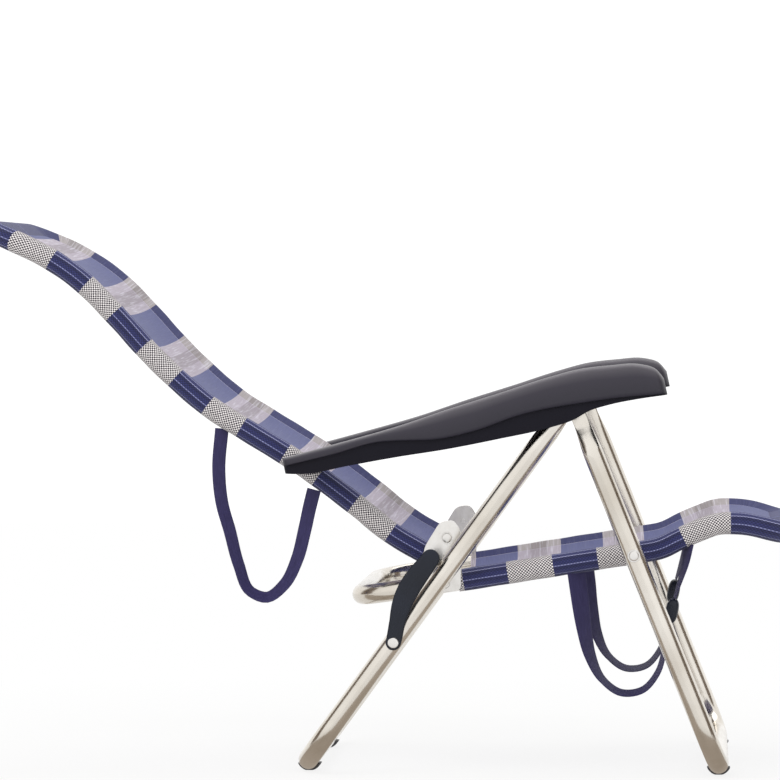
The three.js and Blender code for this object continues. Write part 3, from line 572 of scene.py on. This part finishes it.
# The finish of each slot, apart from the slings', whose stripes are made to measure
FINISHES = {
    "tube": new_material("satin_anodised_tube", drawn_aluminium, ("#cfc8bd", "#e6e1d9"), 0.2, 0.05),
    "fittings": new_material(
        "tumbled_aluminium_fittings", pressed_aluminium, ("#dbd8d4", "#e8e6e3"), 0.3),
    "arm_plastic": new_material("anthracite_soft_touch_polypropylene", armrest_plastic),
    "black_plastic": new_material(
        "black_moulded_polypropylene", moulded_plastic, ("#141822", "#1b202c"), 0.42, 0.7),
    "nylon": new_material("grey_nylon_glides", moulded_plastic, ("#4a4a4d", "#58585b"), 0.5, 0.8),
    "webbing": new_material("navy_polyester_webbing", woven_webbing),
}

# Camera: a long way off, nearly side on, a little higher than the armrests
CAMERA_PLACE = (0.437, -7.22, 0.692)
CAMERA_TARGET = (0.003, -0.222, 0.538)
CAMERA_LENS = 231.0

camera_data = bpy.data.cameras.new("camera")
camera_data.lens = CAMERA_LENS
camera_data.sensor_width = 36.0
camera_data.clip_end = 60.0
bpy.context.scene.camera = put("camera", camera_data, CAMERA_PLACE, aimed(CAMERA_PLACE, CAMERA_TARGET))

# Webbing straps
RAIL_SLOPE = unit(SEAT_PIVOT - SEAT_REAR_BAR)
STRAP_WIDTH = 32.0
STRAP_THICKNESS = 1.8
CARRY_STRAP_WIDTH = 20.0
SEAT_STRAP_ROUTE = np.array([
    [-81.8, -23.5], [-76, -67], [-70, -109], [-62, -144], [-46, -176], [-18, -196],
    [11, -192], [32, -168], [42, -134], [48.2, -98.9],
])
TAB_ROUTE = np.array([[55.6, -63.1], [64, -37], [71, -13], [75.5, 13]])
CARRY_ROUTE = np.array([
    [-314.6, 188.3], [-319, 130], [-314, 81], [-304, 46], [-291, -3], [-274, -41],
    [-252, -49], [-227, -31], [-209, 4], [-198, 46], [-191, 78], [-184.8, 102.8],
])
# Twist of each strap, as shares of its length and degrees: 0 faces the side, 90 lies across the chair
SEAT_STRAP_TWIST = [(0.0, 38), (0.15, 42), (0.32, 56), (0.5, 76), (1.0, 78)]
TAB_TWIST = [(0.0, 86), (1.0, 64)]
CARRY_TWIST = [(0.0, 22), (0.35, 36), (0.55, 48), (0.8, 20), (1.0, 8)]


def ribbon(name, node, line, y, width, twist):
    """Webbing along a line: a flat section with rounded selvedges, twisted about the line.

    The width lies along cos(a) N + sin(a) Y, N the line's normal in the side plane and a the twist.
    The section is the curve |w|^6 + |n|^2 = 1, w across the width and n through the thickness.
    """
    path = lift(line, y)
    run = run_of(line)
    shares, degrees = np.transpose(twist)
    turn = np.radians(np.interp(run / run[-1], shares, degrees))[:, None]
    tangent = unit(np.gradient(path, axis=0))
    side_normal = lift(quarter(tangent[:, [0, 2]]), 0.0)
    width_way = np.cos(turn) * side_normal + np.sin(turn) * np.array([0.0, 1.0, 0.0])
    normal = np.cross(tangent, width_way)
    angle = np.linspace(0, 2 * np.pi, 29)
    w = powered(np.cos(angle), 1 / 3) * width / 2
    n = np.sin(angle) * STRAP_THICKNESS / 2
    rings = swept(path, width_way, w, normal, n)
    return make_piece(name, node, *capped(rings), "webbing", uv=grid_uv(run, w), crease=70.0)


def hang_strap(name, node, line, y, width, twist):
    """A strap that hangs between two places."""
    strap = ribbon(name, node, line, y, width, twist)


for word, sign in SIDES:
    y = sign * FRAME_HALF_SPAN
    hang_strap(
        f"seat_strap_webbing_{word}", f"seat_strap_{word}", spline(SEAT_PIVOT + SEAT_STRAP_ROUTE, 5.0),
        y, STRAP_WIDTH, SEAT_STRAP_TWIST)
    ribbon(
        f"strap_tab_webbing_{word}", f"strap_tab_{word}", spline(SEAT_PIVOT + TAB_ROUTE, 4.0),
        y, STRAP_WIDTH, TAB_TWIST)
hang_strap(
    "carry_strap_webbing", "back_carry_strap", spline(HINGE + CARRY_ROUTE), -FRAME_HALF_SPAN,
    CARRY_STRAP_WIDTH, CARRY_TWIST)

# Tube frames


def hoop_frame(rail, half_span, bend_radius, up_sign):
    """The middle line of a tube bent to a hoop, with its rail distance, outward and upward ways.

    In rail distance s and y it runs up the right rail, round a quarter circle, across the bar, round
    a quarter circle and down the left rail. x and z follow the rail at s, so bends follow its curve.
    """
    run = run_of(rail)
    total = run[-1]
    # Close stations at the open end, where a tang is rounded
    nose = np.array([0.0, 1.2, 2.8, 5.0, 8.0, 11.0])
    straight = np.arange(14.0, total - bend_radius - 2.0, 6.0)
    turn = np.linspace(0, np.pi / 2, 15)
    s_half = np.concatenate([nose, straight, total - bend_radius + bend_radius * np.sin(turn)])
    flat = np.full(len(nose) + len(straight), -half_span)
    y_half = np.concatenate([flat, -half_span + bend_radius * (1 - np.cos(turn))])
    bar = np.linspace(-half_span + bend_radius, half_span - bend_radius, 40)[1:-1]
    s = np.concatenate([s_half, np.full(len(bar), total), s_half[::-1]])
    y = np.concatenate([y_half, bar, -y_half[::-1]])
    path = lift(along(run, rail, s), y)
    slope = along(run, unit(np.gradient(rail, run, axis=0)), s)
    up = unit(lift(quarter(slope), 0.0)) * up_sign
    tangent = unit(np.gradient(path, axis=0))
    out = unit(np.cross(tangent, up))
    if out[0, 1] > 0:
        out = -out
    return path, s, out, up


def press_flat(points, pivot, way, sign, half_span, layer, half_height, flat, blend):
    """Presses a tube's end flat round a pin: near it, the width shrinks to the tang's thickness and
    moves to its layer, the height to the tang's, and the end is rounded as sqrt(1 - (a / h)^2).
    """
    offset = points[..., [0, 2]] - pivot
    reach = offset @ way
    height = offset @ quarter(way)
    t = smoothstep(reach, flat, flat + blend)
    nose = np.where(reach < 0, np.sqrt(np.clip(1 - (reach / half_height) ** 2, 0.06, 1)), 1.0)
    new_height = height * ((half_height / TUBE_RADIUS) * nose * (1 - t) + t)
    squeezed = sign * layer + (points[..., 1] - sign * half_span) * TANG_THICKNESS / 2 / TUBE_RADIUS
    pressed = points + lift((new_height - height)[..., None] * quarter(way), 0.0)
    pressed[..., 1] = squeezed * (1 - t) + points[..., 1] * t
    near = (points[..., 1] * sign > 0) & (reach < flat + blend)
    return np.where(near[..., None], pressed, points)


def tube_hoop(name, node, rail, half_span, bend_radius, tangs=None):
    """A round tube bent to a hoop, its ends pressed to tangs where it has them."""
    path, _, out, up = hoop_frame(rail, half_span, bend_radius, 1)
    angle = np.linspace(0, 2 * np.pi, 33)
    rings = swept(path, out, TUBE_RADIUS * np.cos(angle), up, TUBE_RADIUS * np.sin(angle))
    if tangs:
        for _, sign in SIDES:
            rings = press_flat(rings, sign=sign, half_span=half_span, **tangs)
    uv = grid_uv(run_of(path), TUBE_RADIUS * angle)
    make_piece(name, node, *capped(rings), "tube", uv=uv, crease=50.0)


for end, foot, half_span, layer in LEGS:
    leg_way = unit(foot - APEX)
    leg_rail = np.linspace(APEX - LEG_TANG_HALF_HEIGHT * leg_way, foot, 90)
    leg_tangs = {
        "pivot": APEX, "way": leg_way, "layer": layer, "half_height": LEG_TANG_HALF_HEIGHT,
        "flat": 35.0, "blend": 50.0,
    }
    tube_hoop(f"{end}_leg_tube", f"{end}_leg_hoop", leg_rail, half_span, LEG_BEND_RADIUS, leg_tangs)

seat_joint = SEAT_PIVOT - SEAT_JOINT_BEHIND_PIVOT * RAIL_SLOPE
seat_rail = SEAT_REAR_BAR + SEAT_SHARES * SEAT_LENGTH
rear_rail = np.linspace(seat_joint, SEAT_REAR_BAR, 30)
front_rail = spline([*np.linspace(seat_joint, seat_rail[0], 4), *seat_rail[1:]])
tube_hoop("seat_rear_tube", "seat_rear_hoop", rear_rail, FRAME_HALF_SPAN, SEAT_BEND_RADIUS)
tube_hoop("seat_front_tube", "seat_front_hoop", front_rail, FRAME_HALF_SPAN, SEAT_BEND_RADIUS)

back_stations = HINGE + BACK_SHARES * BACK_SIZE
back_way = unit(back_stations[0] - HINGE)
back_end = HINGE - BACK_TANG_HALF_HEIGHT * back_way
back_rail = spline([back_end, HINGE, HINGE + BACK_NECK * back_way, *back_stations], 4.0)
back_tangs = {
    "pivot": HINGE, "way": back_way, "layer": BACK_TANG_CENTRE, "half_height": BACK_TANG_HALF_HEIGHT,
    "flat": 12.0, "blend": 22.0,
}
tube_hoop("back_tube", "back_hoop", back_rail, FRAME_HALF_SPAN, BACK_BEND_RADIUS, back_tangs)

# Slings


def sleeve_section():
    """The sleeve's outline, out and up from the tube: from the seam straight to the tube, round it, and
    straight back to the seam, with the distance along it.
    """
    angle = np.linspace(SLEEVE_FIRST_ANGLE, SLEEVE_LAST_ANGLE, 38)
    round_part = ways_at(angle) * CLOTH_RADIUS
    seam = np.array([-SEAM_INBOARD, SEAM_RISE])
    share = np.linspace(0, 1, 7)[:-1, None]
    over = seam + (round_part[0] - seam) * share
    under = seam + (round_part[-1] - seam) * share
    outline = np.concatenate([over, round_part, under[::-1]])
    return outline, run_of(outline)


def sling(name, node, rail, bend_radius, sag, up_sign, stripe_places):
    """Cloth on a hoop: a sleeve along the tube, and between the seams a panel that sags.

    The panel's height above the tube's middle is the seam's height less the sag times
    1 - |t|^2.6, t from -1 to 1 across, and fades out towards the end bar as a quarter sine.
    """
    run = run_of(rail)
    total = run[-1]
    order = np.argsort(rail[:, 0])
    ends = np.interp(stripe_places, rail[order, 0], run[order]).tolist()
    material = new_material(name + "_stripes", striped_cloth, ends, total)
    outline, girth = sleeve_section()
    path, s, out, up = hoop_frame(rail, FRAME_HALF_SPAN, bend_radius, up_sign)
    side = np.where(path[:, 1] < 0, -1.0, 1.0)
    # Puckers of the sleeve, about 53 mm apart
    pull = 0.35 * np.sin(s / 8.5 + 1.3 * side)[:, None] * np.sin(girth / 11.0)
    grids = []
    for shrink in (0.0, CLOTH_THICKNESS):
        scale = (CLOTH_RADIUS - shrink + pull) / CLOTH_RADIUS
        grids.append(swept(path, out, outline[:, 0] * scale, up, outline[:, 1] * scale))
    sleeve_points, sleeve_faces = shell(*grids, ring=True)
    sleeve_uv = grid_uv(s, (SEAM_ACROSS + girth) * side[:, None])

    end = total - SEAM_INBOARD
    corner = bend_radius - SEAM_INBOARD
    turn = np.linspace(0, np.pi / 2, 13)
    rows = np.concatenate([np.arange(0.0, end - corner - 2.0, 7.0), end - corner + corner * np.sin(turn)])
    half = np.full(len(rows), SEAM_ACROSS)
    half[-len(turn):] -= corner * (1 - np.cos(turn))
    t = np.linspace(-1, 1, 61)
    y = t * half[:, None]
    slack = np.sin(np.clip((end - rows) / (3 * bend_radius), 0, 1) * np.pi / 2)
    height = SEAM_RISE - sag * slack[:, None] * (1 - np.abs(t) ** 2.6)
    # Faint tension folds from the seams, gone by the middle
    height += 0.5 * np.sin(rows / 13.0)[:, None] * (np.abs(t) ** 3 * (1 - np.abs(t) ** 8))
    slope = along(run, unit(np.gradient(rail, run, axis=0)), rows)
    base = along(run, rail, rows)
    faces_of_panel = []
    for through in (0.5, -0.5):
        h = up_sign * (height + through * CLOTH_THICKNESS)
        faces_of_panel.append(lift(base[:, None] + h[..., None] * quarter(slope)[:, None], y))
    panel_points, panel_faces = shell(*faces_of_panel)
    panel_uv = grid_uv(rows, y)

    points = np.concatenate([sleeve_points, panel_points])
    faces = [*sleeve_faces, *(group + len(sleeve_points) for group in panel_faces)]
    uv = np.concatenate([sleeve_uv, sleeve_uv, panel_uv, panel_uv])
    piece = make_piece(name, node, points, faces, "plaid_cloth", material, uv=uv, crease=60.0)


SEAT_SAG = 16.5
BACK_SAG = 12.5
# Where each stripe ends, from the cloth's lower end, as X in the chair's frame
SEAT_STRIPE_PLACES = [104.85, 166.45, 230.85, 292.45, 352.65, 412.85, 478.65]
BACK_STRIPE_PLACES = [
    5.45, -46.35, -95.35, -144.35, -203.15, -252.15, -296.95, -341.75, -383.75, -424.35, -473.35, -525.15,
]

sleeve_start = SEAT_PIVOT - SEAT_SLEEVE_BEHIND_PIVOT * RAIL_SLOPE
seat_cloth_rail = spline([*np.linspace(sleeve_start, seat_rail[0], 4), *seat_rail[1:]])
sling(
    "seat_sling_cloth", "seat_sling", seat_cloth_rail, SEAT_BEND_RADIUS, SEAT_SAG, 1,
    SEAT_STRIPE_PLACES)
sling(
    "back_sling_cloth", "back_sling", spline(back_stations, 4.0), BACK_BEND_RADIUS, BACK_SAG,
    -1, BACK_STRIPE_PLACES)

# Brackets and turned pins


def rounded_outline(corners, radius, steps=6):
    """A closed outline whose corners are cut by curves that start radius mm from each of them.

    Each curve is the parabola with its middle weight at the corner.
    """
    corners = np.asarray(corners, float)
    before = np.roll(corners, 1, axis=0) - corners
    after = np.roll(corners, -1, axis=0) - corners
    reach = np.minimum(radius, 0.42 * np.minimum(
        np.linalg.norm(before, axis=1), np.linalg.norm(after, axis=1)))[:, None]
    start = corners + unit(before) * reach
    end = corners + unit(after) * reach
    t = np.linspace(0, 1, steps)[None, :, None]
    curve = (1 - t) ** 2 * start[:, None] + 2 * t * (1 - t) * corners[:, None] + t**2 * end[:, None]
    return curve.reshape(-1, 2)


def inset(outline, distance):
    """The outline moved inwards by a distance along its mean normals."""
    area = 0.5 * np.sum(
        outline[:, 0] * np.roll(outline[:, 1], -1) - np.roll(outline[:, 0], -1) * outline[:, 1])
    tangent = unit(np.roll(outline, -1, axis=0) - np.roll(outline, 1, axis=0))
    return outline + distance * np.sign(area) * quarter(tangent)


def pressed_plate(name, node, outline, sign, faces_at, bevel, slot):
    """A plate between two distances from the middle, its edges rounded by a bevel."""
    low, high = faces_at
    steps = [(low, bevel), (low + bevel, 0.0), (high - bevel, 0.0), (high - 0.3 * bevel, 0.3 * bevel),
             (high, bevel)]
    rings = []
    for y, inward in steps:
        ring = inset(outline, inward)
        rings.append(lift(np.concatenate([ring, ring[:1]]), sign * y))
    make_piece(name, node, *capped(np.stack(rings)), slot, crease=30.0)


def turned(name, node, centre, sign, steps, dome):
    """A turned pin: [radius, from, to] steps outwards from the middle, the last one domed.

    The dome's height over the head falls as sqrt(1 - (r / head)^2).
    """
    profile = [(0.0, steps[0][1])]
    for radius, start, end in steps:
        edge = min(0.5, 0.3 * (end - start))
        profile += [(radius - edge, start), (radius, start + edge)]
        profile += [(radius, end - edge), (radius - edge, end)]
    if dome:
        radius, _, end = steps[-1]
        share = np.linspace(0.9, 0.0, 7)
        profile += [(radius * r, end + dome * math.sqrt(1 - r * r)) for r in share]
    else:
        profile.append((0.0, steps[-1][2]))
    profile = np.array(profile)
    angle = np.linspace(0, 2 * np.pi, 41)
    rings = lift(centre + profile[:, :1, None] * ways_at(angle), sign * profile[:, 1:])
    make_piece(name, node, rings, [grid_faces(*rings.shape[:2])], "fittings", crease=45.0)


PLATE_HEIGHT = 102.0
PLATE_OUTLINE = HINGE + PLATE_HEIGHT * np.array([
    [-0.295, 0.21], [-0.07, 0.577], [0.124, 0.604], [0.22, 0.453],
    [0.22, -0.371], [-0.137, -0.398], [-0.28, -0.02],
])

# Each pin: its axis, the height of its dome, and its steps
PINS = {
    "bracket_bolt": (BRACKET_BOLT, 1.2, [[7, 236.3, 238.2], [4, 238.2, 241.8], [7, 241.8, 243.6]]),
    "bracket_rivet": (UPPER_RIVET, 1.6, [[4, 238.2, 241.8], [8.5, 241.8, 242.4], [6.8, 242.4, 243.6]]),
    "back_pin": (HINGE, 1.4, [
        [6, 226.2, 228.7], [4, 228.7, 235.3], [6, 235.3, 238.2], [4, 238.2, 241.8], [7, 241.8, 243.4]]),
    "link_pin": (LINK_TOP_PIVOT, 0.0, [[4, 238.2, 241.8], [6, 241.8, 273.8], [4, 273.8, 279.6]]),
    "seat_pivot": (SEAT_PIVOT, 2.2, [
        [6, 236.3, 275.3], [4, 275.3, 303.9], [9.0, 303.4, 304.4], [7, 304.4, 305.2]]),
    "apex_pin": (APEX, 0.0, [[7, 262.8, 265.3], [4, 265.3, 279.3], [7, 279.3, 281.8], [4, 281.8, 292.6]]),
    "armrest_pin": (ARM_PIVOT, 0.0, [[5, 236.3, 293.3]]),
    "link_rivet": (LINK_LOW_PIVOT, 1.4, [[4, 273.8, 281.4], [7.5, 281.4, 282.9]]),
}

for word, sign in SIDES:
    pressed_plate(
        f"seat_bracket_plate_{word}", f"seat_bracket_{word}", rounded_outline(PLATE_OUTLINE, 9.0), sign,
        PLATE_FACES, 0.7, "fittings")
    for pin_name, (centre, dome, steps) in PINS.items():
        turned(f"{pin_name}_turned_{word}", f"{pin_name}_{word}", centre, sign, steps, dome)

# Links


def link_bar(name, node, sign):
    """A bowed link: across its middle line k runs from -1 to 1, and its outer face stands
    1 - 0.3 k^2 - 0.7 |k|^8 of its crown proud, with a fine rib along the middle.
    """
    way = unit(LINK_LOW_PIVOT - LINK_TOP_PIVOT)
    length = float(np.linalg.norm(LINK_LOW_PIVOT - LINK_TOP_PIVOT))
    top_end, low_end = 12.5, 10.8
    edge = np.sin(np.linspace(-np.pi / 2, np.pi / 2, 70))
    middle = (low_end - top_end + length) / 2
    s = middle + edge * (length + top_end + low_end) / 2
    share = np.clip(s / length, 0, 1)
    bow = LINK_BOW * np.sin(np.pi * share) ** 1.2
    half = top_end + LINK_SWELL * np.sin(np.pi * np.clip(share * 1.3, 0, 1)) - (top_end - low_end) * share
    half = np.where(s < 0, np.sqrt(np.clip(top_end**2 - s**2, 0, None)), half)
    beyond = s - length
    half = np.where(beyond > 0, np.sqrt(np.clip(low_end**2 - beyond**2, 0, None)), half)
    centre = laid(LINK_TOP_PIVOT, way, s, -bow)
    square = quarter(unit(np.gradient(centre, axis=0)))
    k = np.linspace(-1, 1, 29)
    flat = centre[:, None] - (k * half[:, None])[..., None] * square[:, None]
    crown = 1 - 0.3 * k**2 - 0.7 * np.abs(k) ** 8
    low, high = LINK_FACES
    rib_share = smoothstep(share, 0.12, 0.3) * (1 - smoothstep(share, 0.75, 0.88))
    rib = 0.5 * np.exp(-((k / 0.07) ** 2)) * rib_share[:, None]
    outer_y = high - LINK_CROWN * (1 - crown) + rib
    outer = lift(flat, sign * outer_y)
    inner = lift(flat, sign * low)
    make_piece(name, node, *shell(outer, inner), "black_plastic")


for word, sign in SIDES:
    link_bar(f"link_moulding_{word}", f"link_{word}", sign)

# Armrests
ARM_TOP = np.array([
    [-0.039, 0.03], [0.11, 0.038], [0.273, 0.049], [0.41, 0.065], [0.547, 0.078], [0.683, 0.092],
    [0.765, 0.096], [0.843, 0.089], [0.921, 0.076], [0.957, 0.057], [0.975, 0.027],
])
ARM_BOTTOM = np.array([
    [-0.039, -0.01], [0.017, -0.022], [0.123, -0.024], [0.256, -0.028], [0.389, -0.035],
    [0.522, -0.037], [0.656, -0.036], [0.724, -0.029], [0.768, -0.015], [0.822, -0.01],
    [0.902, -0.011], [0.975, -0.016],
])
ARM_LIP = np.array([
    [-0.039, 0.01], [0.1, 0.014], [0.215, 0.021], [0.3, 0.008], [0.36, -0.003], [0.47, -0.003],
    [0.594, 0.013], [0.756, 0.01], [0.854, 0.003], [0.93, -0.006], [0.975, -0.012],
])
ARM_HALF_WIDTH = 28.5
ARM_SKIRT_HALF_WIDTH = 24.4
ARM_WALL = 2.8
ARM_PLAN_RADIUS = 15.0
ARM_LIP_OVERLAP = 1.2


def height_along(shares, x):
    """A smooth outline's height in mm at distances x along the armrest."""
    line = spline(shares * ARM_LENGTH, 3.0)
    return np.interp(x, line[:, 0], line[:, 1])


def arm_grid(wall, sign):
    """The armrest's skin: over the lip the section is |y / w|^5 + |h|^4 = 1, h the share of the way
    from the lip to the top, and under it a skirt set in. Both ends are rounded in plan as
    (1 - (1 - d / r)^3)^(1/3). wall moves the skin inwards for the hollow underneath. Each point's
    second length is its lane: -1 at the foot of the skirt, 0 at the lip and 1 on the crown.
    """
    rear = ARM_TOP[0, 0] * ARM_LENGTH + wall
    nose = ARM_TOP[-1, 0] * ARM_LENGTH - wall
    edge = np.sin(np.linspace(-np.pi / 2, np.pi / 2, 110))
    x = (rear + nose) / 2 + edge * (nose - rear) / 2
    near_end = np.clip(np.minimum(x - rear, nose - x) / ARM_PLAN_RADIUS, 0, 1)
    plan = (1 - (1 - near_end) ** 3) ** (1 / 3)
    top = height_along(ARM_TOP, x) - wall
    bottom = height_along(ARM_BOTTOM, x)
    # The lip stays within the outline where the ends close in
    lip = np.maximum(np.minimum(height_along(ARM_LIP, x), top - 6.0), bottom + 1.5)
    turn = np.linspace(0, np.pi, 37)
    cap_y = powered(np.cos(turn), 2 / 5)
    cap_h = np.abs(np.sin(turn)) ** (2 / 4)
    half = (ARM_HALF_WIDTH - wall) * plan
    skirt = (ARM_SKIRT_HALF_WIDTH - wall) * plan
    cap = np.stack([
        half[:, None] * cap_y,
        lip[:, None] + (top - lip)[:, None] * cap_h,
    ], axis=-1)
    share = np.array([0.0, 0.33, 0.67, 0.93, 1.0])
    skirt_h = bottom[:, None] + (lip - ARM_LIP_OVERLAP - bottom)[:, None] * share
    right = np.stack([np.repeat(skirt[:, None], len(share), axis=1), skirt_h], axis=-1)
    left = np.stack([-right[:, ::-1, 0], right[:, ::-1, 1]], axis=-1)
    section = np.concatenate([right, cap, left], axis=1)
    lane = np.concatenate([share - 1, cap_h, share[::-1] - 1])
    flat = laid(ARM_PIVOT, ways_at(ARM_INCLINE), x[:, None], section[..., 1])
    return lift(flat, sign * (ARM_CENTRE + section[..., 0])), grid_uv(x, lane / MM)


for word, sign in SIDES:
    outer, outer_uv = arm_grid(0.0, sign)
    inner, inner_uv = arm_grid(ARM_WALL, sign)
    make_piece(
        f"armrest_moulding_{word}", f"armrest_{word}", *shell(outer, inner), "arm_plastic",
        uv=np.concatenate([outer_uv, inner_uv]), crease=35.0)

# Strap clips
CLIP_TILT = math.radians(12.0)
CLIP_HALF_DEPTH = 9.0
CLIP_HALF_HEIGHT = 17.5
CLIP_HALF_WIDTH = 19.0
CLIP_PLACE = SEAT_PIVOT + np.array([52.0, -81.0])


def strap_clip(name, node, sign):
    """A moulded strap buckle: a barrel as wide as the strap, |a|^2.6 + |b|^2.6 = 1 across, its ends
    rounded in as (1 - |t|^6)^(1/3).
    """
    t = np.sin(np.linspace(-np.pi / 2, np.pi / 2, 31))
    scale = np.clip(1 - np.abs(t) ** 6, 0, 1)[:, None] ** (1 / 3)
    angle = np.linspace(0, 2 * np.pi, 37)
    a = powered(np.cos(angle), 2 / 2.6) * CLIP_HALF_DEPTH * scale
    b = powered(np.sin(angle), 2 / 2.6) * CLIP_HALF_HEIGHT * scale
    flat = laid(CLIP_PLACE, ways_at(-CLIP_TILT), a, b)
    rings = lift(flat, sign * FRAME_HALF_SPAN + (CLIP_HALF_WIDTH * t)[:, None])
    make_piece(name, node, rings, [grid_faces(*rings.shape[:2])], "black_plastic", crease=50.0)


for word, sign in SIDES:
    strap_clip(f"strap_buckle_{word}", f"strap_clip_{word}", sign)

# Foot glides
GLIDE_LENGTH = 26.0
GLIDE_FROM_BEND = 13.0
GLIDE_CLEARANCE = 0.3
GLIDE_WALL = 3.4


def foot_glide(name, node, foot, sign, half_span):
    """A saddle under a floor bar: round the tube above, flat on the floor, its sides rising to the
    tube's lower third.
    """
    to = half_span - LEG_BEND_RADIUS - GLIDE_FROM_BEND
    clear = TUBE_RADIUS + GLIDE_CLEARANCE
    inner = foot + ways_at(np.radians(np.linspace(-152, -28, 25))) * clear
    ray = ways_at(np.radians(np.linspace(-156, -24, 25)))
    # Each ray from the tube's middle ends on the floor, or where it has passed the wall
    to_floor = foot[1] / -ray[:, 1]
    outer = foot + ray * np.minimum(to_floor, clear + GLIDE_WALL)[:, None]
    outline = np.concatenate([inner, outer[::-1]])
    pressed_plate(name, node, outline, sign, (to - GLIDE_LENGTH, to), 0.5, "nylon")


for word, sign in SIDES:
    for end, foot, half_span, _ in LEGS:
        foot_glide(f"{end}_glide_saddle_{word}", f"{end}_glide_{word}", foot, sign, half_span)


def refinish(node, material):
    """A CAD node that stays gets a better material."""
    kept = NODES[node]
    if not kept.material_slots:
        kept.data.materials.append(material)
    for held in kept.material_slots:
        held.material = material


sleeve_nylon = new_material(
    "white_nylon_sleeves", moulded_plastic, ("#dcdad4", "#e8e6e1"), 0.5, 0.8)
for word, _ in SIDES:
    refinish(f"rack_{word}", FINISHES["black_plastic"])
    refinish(f"seat_joint_sleeve_{word}", sleeve_nylon)

# Floor, light and the studio


def stage_plane(name, width, depth, place, turn, material):
    """A flat piece of the studio, not part of the chair."""
    corners = [(x * width / 2, y * depth / 2, 0) for x, y in ((-1, -1), (1, -1), (1, 1), (-1, 1))]
    mesh = bpy.data.meshes.new(name)
    mesh.from_pydata(corners, [], [(0, 1, 2, 3)])
    mesh.materials.append(material)
    made = put(name, mesh, place, turn)
    return made


def seen_rays(tree):
    """The light path, and 1 for rays from the eye or from a glossy surface."""
    rays = add(tree, "LightPath")
    seen = add(tree, "Math", {
        0: rays.outputs["Is Camera Ray"], 1: rays.outputs["Is Glossy Ray"]}, operation="MAXIMUM")
    return rays, seen


def studio_floor(tree):
    """White seamless paper: it takes the chair's shadow near it and fades to the white background."""
    place = add(tree, "TexCoord")
    distance = add(tree, "VectorMath", {0: place.outputs["Object"]}, operation="LENGTH")
    fade = add(tree, "MapRange", {
        "Value": distance.outputs["Value"], "From Min": 0.7, "From Max": 1.5, "To Min": 0.84,
    })
    fibres = even_noise(tree, 300.0)
    tint = add(tree, "ValToRGB", {"Fac": fibres}, stops=[(0.3, "#f1f1f0"), (0.7, "#f7f7f6")])
    paper = add(tree, "BsdfPrincipled", {"Base Color": tint, "Roughness": 0.9})
    glow = add(tree, "Emission", {"Color": (1.0, 1.0, 1.0, 1.0), "Strength": 1.0})
    _, seen = seen_rays(tree)
    share = add(tree, "Math", {0: seen, 1: fade}, operation="MULTIPLY")
    return add(tree, "MixShader", {0: share, 1: paper, 2: glow})


def studio_card(tree, colour):
    """Evenly lit brown-grey card: bright metal mirrors it as the soft dark lines along its tubes."""
    grain = even_noise(tree, 6.0)
    tint = add(tree, "ValToRGB", {"Fac": grain}, stops=[(0.3, colour[0]), (0.7, colour[1])])
    return add(tree, "Emission", {"Color": tint, "Strength": 1.0})


def soft_lamp(name, place, target, size, watts, mirrored):
    """A square soft box that points at a target, seen in reflections where it is mirrored."""
    data = bpy.data.lights.new(name, "AREA")
    data.size = size
    data.energy = watts
    put(name, data, place, aimed(place, target)).visible_glossy = mirrored


paper = new_material("white_seamless_paper", studio_floor)
stage_plane("floor", 14.0, 14.0, (0.0, 0.0, -0.0005), (0.0, 0.0, 0.0), paper)
side_card = new_material("brown_studio_card", studio_card, ("#756a60", "#85796e"))
low_card = new_material("sand_studio_card", studio_card, ("#aba196", "#b7ada3"))
for card_name, width, depth, place, turn, card in (
    ("card_right", 2.6, 1.7, (2.5, -0.3, 1.35), (0.0, math.pi / 2, 0.0), side_card),
    ("card_left", 2.6, 1.7, (-2.5, -0.3, 1.35), (0.0, math.pi / 2, 0.0), side_card),
    ("card_low", 3.6, 0.34, (0.0, -0.32, 0.001), (0.0, 0.0, 0.0), low_card),
):
    hung = stage_plane(card_name, width, depth, place, turn, card)
    # Seen only in reflections
    hung.visible_camera = False
    hung.visible_diffuse = False
    hung.visible_shadow = False
# The tubes mirror the white room and the cards, not the front boxes, whose edges would band them
soft_lamp("key_light", (-1.6, -2.6, 3.2), (0.0, 0.0, 0.4), 2.4, 62.0, mirrored=False)
soft_lamp("fill_light", (2.4, -2.8, 1.6), (0.1, 0.0, 0.35), 2.2, 24.0, mirrored=False)
soft_lamp("top_light", (0.3, 1.0, 3.4), (0.0, 0.0, 0.4), 2.6, 30.0, mirrored=True)

# A white room: full white to the eye and in reflections, dimmer as light on the chair
world = bpy.data.worlds.new("white_room")
world.use_nodes = True
room = world.node_tree
room.nodes.clear()
rays, direct = seen_rays(room)
seen = add(room, "Math", {0: direct, 1: rays.outputs["Is Transmission Ray"]}, operation="MAXIMUM")
light = add(room, "Background", {"Color": (1.0, 0.99, 0.98, 1.0), "Strength": 0.62})
white = add(room, "Background", {"Color": (1.0, 1.0, 1.0, 1.0), "Strength": 1.12})
add(room, "OutputWorld", {"Surface": add(room, "MixShader", {0: seen, 1: light, 2: white})})
bpy.context.scene.world = world
bpy.context.scene.view_settings.view_transform = "Standard"
